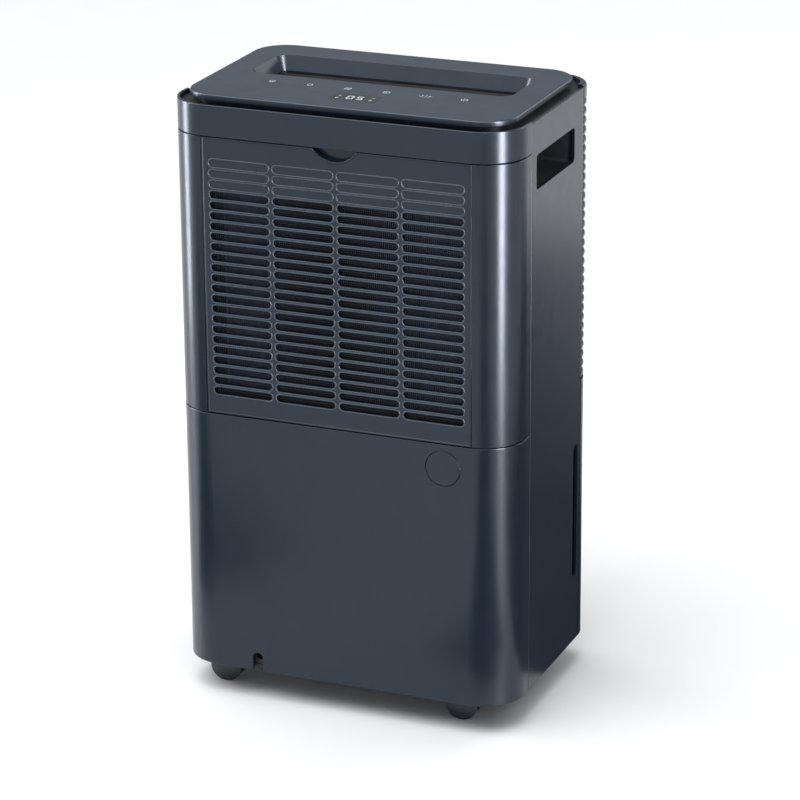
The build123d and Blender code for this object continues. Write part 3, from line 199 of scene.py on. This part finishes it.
# Glass-filled nylon of the casters: slate, matt, faintly mottled by its fibres.
caster_nylon = finish("glass_filled_nylon", "#141d25", "#1a242d", (0.38, 0.5), 1.2, 0.03, 6.0, 1.53)
# White ink, printed thinly, so it reads as pale grey.
print_ink = finish("white_pad_print_ink", "#c3ccd6", "#dde4eb", (0.5, 0.6), 0.8, 0.005, 3.0, 1.5)

SLOTS = {"shell": shell_abs, "plate": plate_abs_painted_top_light, "inner_plastic": painted_shade_and_black_abs, "tank_plastic": tank_pp,
         "float_foam": float_foam, "mesh": net_nylon, "lens": lens_acrylic, "board": board_green,
         "fins": fin_aluminium, "copper": copper_tube, "black_enamel": black_enamel,
         "zinc_steel": zinc_steel, "can": drawn_can, "rubber": rubber, "caster_plastic": caster_nylon}
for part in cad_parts.values():
    for held in part.material_slots:
        held.material = SLOTS[held.material.name.split(".")[0]]
print("materials", len(bpy.data.materials))

# %% [markdown]
# ## Turning a sketch into a piece
# A repeated shape is drawn once, with a few dozen faces, and Geometry Nodes set copies of it on a
# grid of points. The result is read back as a plain mesh, so nothing live is left on the piece.

# %% Mesh helpers
WELD = 0.01 * MM                     # points nearer than this become one


def piece(name, bm, material, body=None, angle=35.0):
    """Makes an object from a bmesh, smooth where its faces meet at less than angle degrees."""
    mesh = bpy.data.meshes.new(name)
    bm.to_mesh(mesh)
    bm.free()
    mesh.materials.append(material)
    mesh.shade_smooth()
    mesh.set_sharp_from_angle(angle=math.radians(angle))
    made = bpy.data.objects.new(name, mesh)
    bpy.context.scene.collection.objects.link(made)
    if body:
        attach(made, body)
    return made


def grid_tree():
    """Geometry Nodes tree that sets copies of the object's own mesh on an upright grid."""
    tree = bpy.data.node_groups.new("copies_on_a_grid", "GeometryNodeTree")
    sockets = {}
    for label, kind in (("Geometry", "NodeSocketGeometry"), ("Columns", "NodeSocketInt"),
                        ("Rows", "NodeSocketInt"), ("Width", "NodeSocketFloat"),
                        ("Height", "NodeSocketFloat"), ("Material", "NodeSocketMaterial")):
        socket = tree.interface.new_socket(label, in_out="INPUT", socket_type=kind)
        sockets[label] = socket.identifier
    tree.interface.new_socket("Geometry", in_out="OUTPUT", socket_type="NodeSocketGeometry")
    given = node(tree, "NodeGroupInput").outputs
    grid = node(tree, "GeometryNodeMeshGrid", {"Size X": given["Width"], "Size Y": given["Height"],
                                               "Vertices X": given["Columns"],
                                               "Vertices Y": given["Rows"]})
    upright = node(tree, "GeometryNodeTransform", {"Geometry": grid.outputs["Mesh"],
                                                   "Rotation": (math.radians(90), 0, 0)})
    copies = node(tree, "GeometryNodeInstanceOnPoints", {"Points": upright.outputs[0],
                                                         "Instance": given["Geometry"]})
    solid = node(tree, "GeometryNodeRealizeInstances", {"Geometry": copies.outputs[0]})
    welded = node(tree, "GeometryNodeMergeByDistance", {"Geometry": solid.outputs[0],
                                                        "Distance": WELD})
    finished = node(tree, "GeometryNodeSetMaterial", {"Geometry": welded.outputs[0],
                                                      "Material": given["Material"]})
    node(tree, "NodeGroupOutput", {0: finished.outputs[0]})
    return tree, sockets


GRID, GRID_SOCKETS = grid_tree()


def repeated(bm, columns, rows, width, height, material, centre):
    """Bmesh of the sketch repeated on a grid about centre. Sizes are in metres."""
    sketch = piece("sketch", bm, material)
    modifier = sketch.modifiers.new("grid", "NODES")
    modifier.node_group = GRID
    for label, value in (("Columns", columns), ("Rows", rows), ("Width", width),
                         ("Height", height), ("Material", material)):
        modifier[GRID_SOCKETS[label]] = value
    bpy.context.view_layer.update()
    shown = sketch.evaluated_get(bpy.context.evaluated_depsgraph_get())
    mesh = bpy.data.meshes.new_from_object(shown)
    mesh.transform(Matrix.Translation(centre))
    result = bmesh.new()
    result.from_mesh(mesh)
    bpy.data.objects.remove(sketch)
    bpy.data.meshes.remove(mesh)
    return result


def box(bm, low, high):
    """Adds a closed box between two corners."""
    corners = [bm.verts.new((x, y, z)) for x in (low[0], high[0]) for y in (low[1], high[1])
               for z in (low[2], high[2])]
    for face in ((0, 1, 3, 2), (4, 6, 7, 5), (0, 4, 5, 1), (2, 3, 7, 6), (0, 2, 6, 4), (1, 5, 7, 3)):
        bm.faces.new([corners[i] for i in face])


print("grid inputs", sorted(GRID_SOCKETS))

# %% [markdown]
# ## Air inlet panel
# The panel is one moulding: rows of long slots with round ends, each with a soft raised rim that
# catches the light. The upper rows are only embossed. One cell, a slot in its rectangle, is drawn
# in rings and repeated. The margins are filled between the cells and the panel's outline, which
# dips round a finger notch.

# %% Sizes of the inlet
panel_low, panel_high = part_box("filter_panel")
FACE = panel_high.y
COLUMNS, ROWS, BLIND = 4, 23, 3
PITCH_X, PITCH_Z = 56.0 * MM, 8.81 * MM
SLOT_X, SLOT_Z = 52.2 * MM, 6.2 * MM
SKIN = 2.5 * MM
FRAME_DEPTH = panel_high.y - panel_low.y
FRAME_WIDTH = 4.0 * MM
BEAD, BEAD_STEPS = 1.15 * MM, 6      # width of the rim round a slot, and its facets
VALLEY = 0.4 * MM                    # how far the bars lie below the rims
BLIND_DEPTH, BLIND_TAPER = 0.7 * MM, 0.15 * MM
END_STEPS = 8                        # facets of a slot's half round end
FIRST_ROW = panel_high.z - 21.3 * MM
print("panel", [round(v / MM, 1) for v in panel_high - panel_low])


# %% One slot in its cell
def slot_cell(blind):
    """Rings from the cell's border over the rim and down the slot, for one cell at the origin."""
    bm = bmesh.new()
    straight = (SLOT_X - SLOT_Z) / 2
    radius = SLOT_Z / 2
    turns = [math.pi / 2 - math.pi * i / END_STEPS for i in range(END_STEPS + 1)]

    def both_ends(half, depth):
        return [bm.verts.new((x, -depth, z)) for x, z in half + [(-x, -z) for x, z in half]]

    def ring(grow, depth):
        """The slot's outline, larger by grow."""
        wide = radius + grow
        return both_ends([(straight + wide * math.cos(t), wide * math.sin(t)) for t in turns], depth)

    def border(depth):
        """The cell's rectangle, with one point for each point of a ring."""
        tiny = 1e-6
        half = []
        for t in turns:
            if abs(abs(t) - math.pi / 4) < 0.01:       # this point is the rectangle's corner
                half.append((PITCH_X / 2, math.copysign(PITCH_Z / 2, t)))
                continue
            reach = min((PITCH_X / 2 - straight) / max(math.cos(t), tiny),
                        PITCH_Z / 2 / max(abs(math.sin(t)), tiny))
            half.append((straight + reach * math.cos(t), reach * math.sin(t)))
        return both_ends(half, depth)

    rings = [border(VALLEY), ring(BEAD, VALLEY)]
    for i in range(1, BEAD_STEPS + 1):
        turn = math.pi * i / BEAD_STEPS
        rings.append(ring(BEAD / 2 * (1 + math.cos(turn)), VALLEY * (1 - math.sin(turn))))
    if blind:
        rings.append(ring(-BLIND_TAPER, BLIND_DEPTH))
        bm.faces.new(rings[-1])
    else:
        rings.append(ring(0.0, SKIN))
        rings.append(border(SKIN))
    # Faces on the rim are marked here, so that they can get the lighter colour of a painted highlight.
    on_bead = bm.faces.layers.int.new("bead")
    for step, (outer, inner) in enumerate(zip(rings, rings[1:])):
        for i in range(len(outer)):
            k = (i + 1) % len(outer)
            face = bm.faces.new((outer[i], outer[k], inner[k], inner[i]))
            face[on_bead] = int(1 <= step <= BEAD_STEPS)
    if blind:
        bm.faces.new(list(reversed(border(SKIN))))
    return bm


print("slot", [round(v / MM, 2) for v in (SLOT_X, SLOT_Z)], "rim", round(BEAD / MM, 2))

# %% [markdown]
# The panel's outline is a rectangle whose top edge dips round a finger notch. It is one function
# of an inset, so the rounded edge, the wall and the inside all come from the same rule and their
# points match one for one.

# %% Outline with the finger notch
NOTCH_HALF, NOTCH_DEPTH = 18.8 * MM, 9.6 * MM
LIP, LIP_STEPS, NOTCH_STEPS = 2.0 * MM, 5, 20
THIN = 0.05 * MM                     # the lip's radius never shrinks below this
NOTCH_SETBACK, NOTCH_PLATE = 6.6 * MM, 1.9 * MM
notch_radius = (NOTCH_HALF ** 2 + NOTCH_DEPTH ** 2) / (2 * NOTCH_DEPTH)
notch_centre = panel_high.z + notch_radius - NOTCH_DEPTH


def outline(inset):
    """Points (x, z) round the panel, moved inwards by inset, with the same count at every inset."""
    low_x, high_x = panel_low.x + inset, panel_high.x - inset
    low_z, high_z = panel_low.z + inset, panel_high.z - inset
    lip = max(LIP - inset, THIN)
    radius = notch_radius + inset
    lip_z = high_z - lip
    lip_x = math.sqrt((radius + lip) ** 2 - (notch_centre - lip_z) ** 2)
    toward = math.atan2(notch_centre - lip_z, -lip_x)
    points = [(low_x, low_z), (high_x, low_z), (high_x, high_z)]
    for i in range(LIP_STEPS + 1):
        turn = math.pi / 2 + (toward - math.pi / 2) * i / LIP_STEPS
        points.append((lip_x + lip * math.cos(turn), lip_z + lip * math.sin(turn)))
    swing = math.atan2(lip_x, notch_centre - lip_z)
    for i in range(1, NOTCH_STEPS):
        turn = swing - 2 * swing * i / NOTCH_STEPS
        points.append((radius * math.sin(turn), notch_centre - radius * math.cos(turn)))
    for x, z in reversed(points[3:4 + LIP_STEPS]):
        points.append((-x, z))
    points.append((low_x, high_z))
    return points


print("outline points", len(outline(0.0)), "notch radius", round(notch_radius / MM, 1))

# %% Panel from cells, margins and edge
def strip(bm, loop_a, loop_b):
    """Quads between two closed loops of the same length."""
    for i in range(len(loop_a)):
        k = (i + 1) % len(loop_a)
        bm.faces.new((loop_a[i], loop_a[k], loop_b[k], loop_b[i]))


def join(bm, other):
    """Adds another bmesh's faces and frees it."""
    mesh = bpy.data.meshes.new("joined")
    other.to_mesh(mesh)
    other.free()
    bm.from_mesh(mesh)
    bpy.data.meshes.remove(mesh)


def inlet_panel():
    """Open and blind cells, the margins between them and the outline, and the panel's edge."""
    open_rows = ROWS - BLIND
    open_mid = FIRST_ROW - (BLIND + (open_rows - 1) / 2) * PITCH_Z
    blind_mid = FIRST_ROW - (BLIND - 1) / 2 * PITCH_Z
    span = (COLUMNS - 1) * PITCH_X
    bm = repeated(slot_cell(False), COLUMNS, open_rows, span, (open_rows - 1) * PITCH_Z, shell_abs,
                  (0, FACE, open_mid))
    join(bm, repeated(slot_cell(True), COLUMNS, BLIND, span, (BLIND - 1) * PITCH_Z, shell_abs,
                      (0, FACE, blind_mid)))
    bmesh.ops.remove_doubles(bm, verts=bm.verts, dist=WELD)
    rims = {0.0: [], SKIN: []}
    for edge in bm.edges:
        if edge.is_boundary:
            depth = FACE - edge.verts[0].co.y
            rims[0.0 if depth < SKIN / 2 else SKIN].append(edge)
    # inset and depth, from the recessed face over a raised, rounded edge to the inside
    profile = [(1.6 * MM, VALLEY), (1.3 * MM, 0.0), (0.7 * MM, 0.0), (0.35 * MM, 0.09 * MM),
               (0.09 * MM, 0.35 * MM), (0.0, 0.7 * MM), (0.0, FRAME_DEPTH),
               (FRAME_WIDTH, FRAME_DEPTH), (FRAME_WIDTH, SKIN)]
    loops = [[bm.verts.new((x, FACE - depth, z)) for x, z in outline(inset)] for inset, depth in profile]
    for a, b in zip(loops, loops[1:]):
        strip(bm, a, b)
    for depth, loop in ((0.0, loops[0]), (SKIN, loops[-1])):
        ring = [bm.edges.get((loop[i], loop[(i + 1) % len(loop)])) or
                bm.edges.new((loop[i], loop[(i + 1) % len(loop)])) for i in range(len(loop))]
        bmesh.ops.triangle_fill(bm, edges=rims[depth] + ring, use_beauty=True)
    # floor of the finger notch, a plate let into its wall
    notch = [bm.verts.new((x, FACE - NOTCH_SETBACK, z)) for x, z in outline(1.2 * MM)[5:-3]]
    floor = bm.faces.new(notch)
    back = bmesh.ops.extrude_face_region(bm, geom=[floor])["geom"]
    bmesh.ops.translate(bm, verts=[v for v in back if isinstance(v, bmesh.types.BMVert)],
                        vec=(0, -NOTCH_PLATE, 0))
    bmesh.ops.recalc_face_normals(bm, faces=bm.faces)
    return bm


panel = piece("inlet_panel", inlet_panel(), shell_abs, "filter", 40.0)
# The rim faces get the lighter material, a painted highlight.
panel.data.materials.append(rim_abs_painted_highlight)
for face, bead in zip(panel.data.polygons, panel.data.attributes["bead"].data):
    face.material_index = bead.value
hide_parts("filter_panel")
print("inlet panel faces", len(panel.data.polygons))

# %% [markdown]
# ## Filter net
# The net is woven from nylon thread. A real mesh has about one thread a millimetre; this one is
# drawn at 1.8 mm so that single threads still show.

# %% Filter net
net_low, net_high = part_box("filter_mesh")
THREAD = 0.34 * MM
NET_PITCH = 1.8 * MM


def filter_net():
    """Upright threads on one side and level threads on the other, one thread apart."""
    size = net_high - net_low
    middle = (net_low + net_high) / 2
    across, upward = int(size.x / NET_PITCH), int(size.z / NET_PITCH)
    bm = bmesh.new()
    box(bm, (-THREAD / 2, -THREAD / 2, -size.z / 2), (THREAD / 2, THREAD / 2, size.z / 2))
    net = repeated(bm, across + 1, 1, across * NET_PITCH, 0.0, net_nylon, middle)
    bm = bmesh.new()
    box(bm, (-size.x / 2, -THREAD / 2, -THREAD / 2), (size.x / 2, THREAD / 2, THREAD / 2))
    join(net, repeated(bm, 1, upward + 1, 0.0, upward * NET_PITCH, net_nylon,
                       middle - Vector((0, THREAD, 0))))
    return net


net = piece("filter_net", filter_net(), net_nylon, "filter")
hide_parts("filter_mesh")
print("net threads", len(net.data.polygons) // 6)

# %% [markdown]
# ## Coils
# The evaporator and the condenser are blocks of thin aluminium fins pressed on copper tube. The
# tube turns round at both ends in hairpin bends. The fins are repeated on a row of points and the
# bends on a column.

# %% Coils
FIN_PITCH, FIN_THICK = 1.8 * MM, 0.25 * MM
TUBE_RADIUS, BENDS = 3.5 * MM, 8
TUBE_STEPS = 12                      # facets round the tube, and along a bend
END_PLATE = 1.2 * MM
FIN_CLEAR = 2 * MM                   # from the outermost fin to the end of the block


def hairpin(rise, sign):
    """Half ring of tube that leaves a coil's end and comes back a little higher."""
    bm = bmesh.new()
    rings = []
    for i in range(TUBE_STEPS + 1):
        turn = math.pi * i / TUBE_STEPS
        centre = Vector((sign * rise * math.sin(turn), 0, -rise * math.cos(turn)))
        out = Vector((sign * math.sin(turn), 0, -math.cos(turn)))
        around = [math.tau * k / TUBE_STEPS for k in range(TUBE_STEPS)]
        rings.append([bm.verts.new(centre + TUBE_RADIUS * (out * math.cos(a)
                                                           + Vector((0, math.sin(a), 0))))
                      for a in around])
    for a, b in zip(rings, rings[1:]):
        strip(bm, a, b)
    bm.faces.new(rings[0])
    bm.faces.new(list(reversed(rings[-1])))
    bmesh.ops.recalc_face_normals(bm, faces=bm.faces)
    return bm


def coil(name, source):
    """Fins, end plates and hairpins in the box of the CAD's solid block. Returns the fins."""
    low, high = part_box(source)
    rise = (high.z - low.z) / BENDS / 4
    half = (high.x - low.x) / 2 - rise - TUBE_RADIUS
    middle = (low + high) / 2
    depth, height = high.y - low.y, high.z - low.z
    count = int(2 * (half - FIN_CLEAR) / FIN_PITCH)
    bm = bmesh.new()
    box(bm, (-FIN_THICK / 2, -depth / 2, -height / 2),
        (FIN_THICK / 2, depth / 2, height / 2))
    fins = repeated(bm, count + 1, 1, count * FIN_PITCH, 0.0, fin_aluminium, middle)
    for sign in (-1, 1):
        plate_x = sign * (half - END_PLATE / 2)
        box(fins, (plate_x - END_PLATE / 2, low.y, low.z), (plate_x + END_PLATE / 2, high.y, high.z))
    block = piece(name + "_fins", fins, fin_aluminium, "cabinet")
    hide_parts(source)
    tubes = bmesh.new()
    for sign in (-1, 1):
        join(tubes, repeated(hairpin(rise, sign), 1, BENDS, 0.0, height - height / BENDS,
                             copper_tube, middle + Vector((sign * half, 0, 0))))
    piece(name + "_tubes", tubes, copper_tube, "cabinet")
    return block


for label, source in (("evaporator", "evaporator_coil"), ("condenser", "condenser_coil")):
    print(label, "fin faces", len(coil(label, source).data.polygons))

# %% [markdown]
# ## Printed marks and display
# The touch keys are only printed: a power sign, waves under a dotted arc, a clock, a fan, a drop
# and a lock. They are pad printed in white ink a few hundredths of a millimetre thick. The display
# lights two digits behind its black window. Each mark is drawn from short strokes and arcs, which
# need no font and read the same from any side.

# %% Marks from strokes
plate_low, plate_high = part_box("control_panel")
INK = 0.03 * MM
KEY_PEN, KEY_ROW = 0.55 * MM, 31 * MM
KEY_SPOTS = [x * MM for x in (-84, -50.4, -16.8, 16.8, 50.4, 84)]
DISPLAY_ROW = 56 * MM
lens_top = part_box("display_lens")[1].z


def stroke(bm, points, width, top, closed=False):
    """Flat band along points (x, y) that stands INK proud of the height top. Sizes in metres."""
    points = [Vector(p) for p in points]
    count = len(points)
    sides = []
    for i, p in enumerate(points):
        before = points[i - 1] if (i or closed) else p
        after = points[(i + 1) % count] if (i < count - 1 or closed) else p
        along = (after - before).normalized()
        across = Vector((-along.y, along.x)) * width / 2
        sides.append((p + across, p - across))
    ends = range(count if closed else count - 1)
    rows = [[bm.verts.new((q.x, q.y, top + h)) for q in (a, b) for h in (0.0, INK)] for a, b in sides]
    for i in ends:
        a, b = rows[i], rows[(i + 1) % count]
        for j, k in ((1, 3), (3, 2), (2, 0), (0, 1)):
            bm.faces.new((a[j], a[k], b[k], b[j]))
    if not closed:
        for a in (rows[0], rows[-1]):
            bm.faces.new((a[0], a[1], a[3], a[2]))


def arc(centre, radius, start, end, steps=20):
    """Points on an arc, angles in degrees."""
    return [(centre[0] + radius * math.cos(math.radians(start + (end - start) * i / steps)),
             centre[1] + radius * math.sin(math.radians(start + (end - start) * i / steps)))
            for i in range(steps + 1)]


def marks():
    """The six key signs, drawn in millimetres for a reader at the front of the cabinet."""
    bm = bmesh.new()

    def sign(key, points, closed=False):
        placed = [(KEY_SPOTS[key] + x * MM, KEY_ROW + y * MM) for x, y in points]
        stroke(bm, placed, KEY_PEN, plate_high.z, closed)

    # power
    sign(0, arc((0, 0), 2.7, 120, 420))
    sign(0, [(0, 0.6), (0, 3.4)])
    # waves of air under a dotted arc
    for shift in (-3.1, 0.0, 3.1):
        sign(1, [(shift - 1.2, -2.4), (shift - 0.2, -1.2), (shift - 1.0, 0.2), (shift, 1.6)])
    for i in range(9):
        start = 20 + 17.5 * i
        sign(1, arc((0, -2.2), 5.6, start, start + 7, 3))
    # clock
    sign(2, arc((0, 0), 2.8, 0, 360, 28)[:-1], True)
    sign(2, [(0, 1.7), (0, 0), (1.2, -0.6)])
    # fan
    for turn in (0, 90, 180, 270):
        root = arc((0, 0), 0.6, turn, turn, 1)[:1]
        tip = arc((0, 0), 1.7, turn + 40, turn + 40, 1)[0]
        sign(3, root + arc(tip, 1.2, turn - 70, turn + 120, 8))
    # drop
    sign(4, [(0, 3.2)] + arc((0, -0.6), 2.2, 30, -210, 20), True)
    # lock
    sign(5, [(-2.1, -2.6), (2.1, -2.6), (2.1, 0.4), (-2.1, 0.4)], True)
    sign(5, [(-1.3, 0.4), (-1.3, 1.4)] + arc((0, 1.4), 1.3, 180, 0, 10) + [(1.3, 0.4)])
    return bm


printed = piece("key_marks", marks(), print_ink, "cabinet", 20.0)
print("mark faces", len(printed.data.polygons))

# %% Lit digits
def lit_segments():
    """Two seven-segment digits with a small ring and a dash at each side."""
    bm = bmesh.new()
    wide, tall, pen, gap = 4.6 * MM, 8.4 * MM, 0.95 * MM, 0.35 * MM
    bars = {"a": ((-1, 1), (1, 1)), "b": ((1, 1), (1, 0)), "c": ((1, 0), (1, -1)),
            "d": ((-1, -1), (1, -1)), "e": ((-1, 0), (-1, -1)), "f": ((-1, 1), (-1, 0)),
            "g": ((-1, 0), (1, 0))}
    for digit, x in (("acdfg", -4.2 * MM), ("abcdef", 4.2 * MM)):
        for name in digit:
            a, b = [Vector((x + u * wide / 2, DISPLAY_ROW + v * tall / 2)) for u, v in bars[name]]
            inward = (b - a).normalized() * gap
            stroke(bm, [a + inward, b - inward], pen, lens_top)
    for side_x in (-14.5 * MM, 14.5 * MM):
        ring = arc((side_x, DISPLAY_ROW + 3.6 * MM), 1.1 * MM, 0, 360, 16)[:-1]
        stroke(bm, ring, 0.35 * MM, lens_top, True)
        dash = [(side_x - 1.2 * MM, DISPLAY_ROW - 4.2 * MM),
                (side_x + 1.2 * MM, DISPLAY_ROW - 3.2 * MM)]
        stroke(bm, dash, 0.4 * MM, lens_top)
    return bm


# Cool white LED segments: they glow a little, unevenly along each bar.
led = finish("cool_white_led_segment", "#c9d6e2", "#e4edf5", (0.3, 0.4), 1.0, 0.005, 2.0)
glow = led.node_tree.nodes["Principled BSDF"]
glow.inputs["Emission Color"].default_value = colour("#dfe9f4")
glow.inputs["Emission Strength"].default_value = 0.25
digits = piece("display_digits", lit_segments(), led, "cabinet", 20.0)
print("digit faces", len(digits.data.polygons))

# %% [markdown]
# ## Studio
# A pale floor runs past the view on all sides. A large soft light hangs overhead, a tall softbox
# stands at each side to draw the long reflections down the round corners, and three dark cards on
# the floor, which only glossy surfaces see, keep the lower faces from mirroring the pale floor.

# %% Floor and lights
def studio_object(name, data, spot, target):
    """Links an object at spot, turned to look at target."""
    made = bpy.data.objects.new(name, data)
    bpy.context.scene.collection.objects.link(made)
    made.location = spot
    made.rotation_euler = (Vector(target) - Vector(spot)).to_track_quat("-Z", "Y").to_euler()
    return made


def softbox(name, spot, target, width, height, watts, tint="#ffffff"):
    """A rectangular lamp that the camera itself doesn't see. Sizes in metres."""
    lamp = bpy.data.lights.new(name, "AREA")
    lamp.shape, lamp.size, lamp.size_y, lamp.energy = "RECTANGLE", width, height, watts
    lamp.color = colour(tint)[:3]
    made = studio_object(name, lamp, spot, target)
    made.visible_camera = False
    return made


def card(name, spot, target, width, height, code, rough):
    """A flat stage piece that looks at target."""
    bm = bmesh.new()
    corners = [(-1, -1), (1, -1), (1, 1), (-1, 1)]
    bm.faces.new([bm.verts.new((x * width / 2, y * height / 2, 0)) for x, y in corners])
    made = piece(name, bm, finish(name, code, code, rough, 3.0, 0.02, 200.0))
    made.location = spot
    made.rotation_euler = (Vector(target) - Vector(spot)).to_track_quat("-Z", "Y").to_euler()
    return made


card("floor", (0, 0, 0), (0, 0, -1), 40.0, 40.0, "#f6f7f8", (0.5, 0.6))
softbox("overhead", (0.2, 0.9, 2.2), (0, 0, 0.2), 1.6, 1.6, 16.0)
softbox("front_fill", (-1.1, -1.7, 1.3), (0, 0, 0.3), 1.0, 1.0, 10.0)
# name, spot, target, width, watts
for name, spot, target, width, watts in (
        ("side_strip_right", (-0.86, 0.42, 0.60), (-0.12, 0.07, 0.30), 0.22, 40.0),
        ("side_strip_left", (0.97, 0.16, 0.60), (0.12, 0.07, 0.30), 0.24, 18.0)):
    softbox(name, spot, target, width, 1.3, watts, "#e8efff").visible_diffuse = False
# name, x, y, width, length, colour, turn in degrees
for name, x, y, width, length, code, turn in (
        ("flag_rear", -0.42, 0.84, 0.34, 1.4, "#101214", 20),
        ("flag_far", 0.74, 0.62, 0.34, 1.2, "#101214", -52),
        ("flag_side", -0.62, -0.55, 0.75, 1.3, "#14181c", -22)):
    flag = card(name, (x, y, 2 * MM), (x, y, -1), width, length, code, (0.8, 0.9))
    flag.rotation_euler = (0, 0, math.radians(turn))
    flag.visible_camera = flag.visible_diffuse = flag.visible_shadow = False
sun = bpy.data.lights.new("sky_light", "SUN")
sun.energy, sun.angle = 2.2, math.radians(75)
studio_object("sky_light", sun, (0.9, 0.5, 3.0), (0, 0, 0))

world = bpy.data.worlds.new("studio")
bpy.context.scene.world = world
world.use_nodes = True
world.node_tree.nodes["Background"].inputs["Color"].default_value = colour("#f2f5f8")
world.node_tree.nodes["Background"].inputs["Strength"].default_value = 0.42
bpy.context.scene.view_settings.view_transform = "Standard"
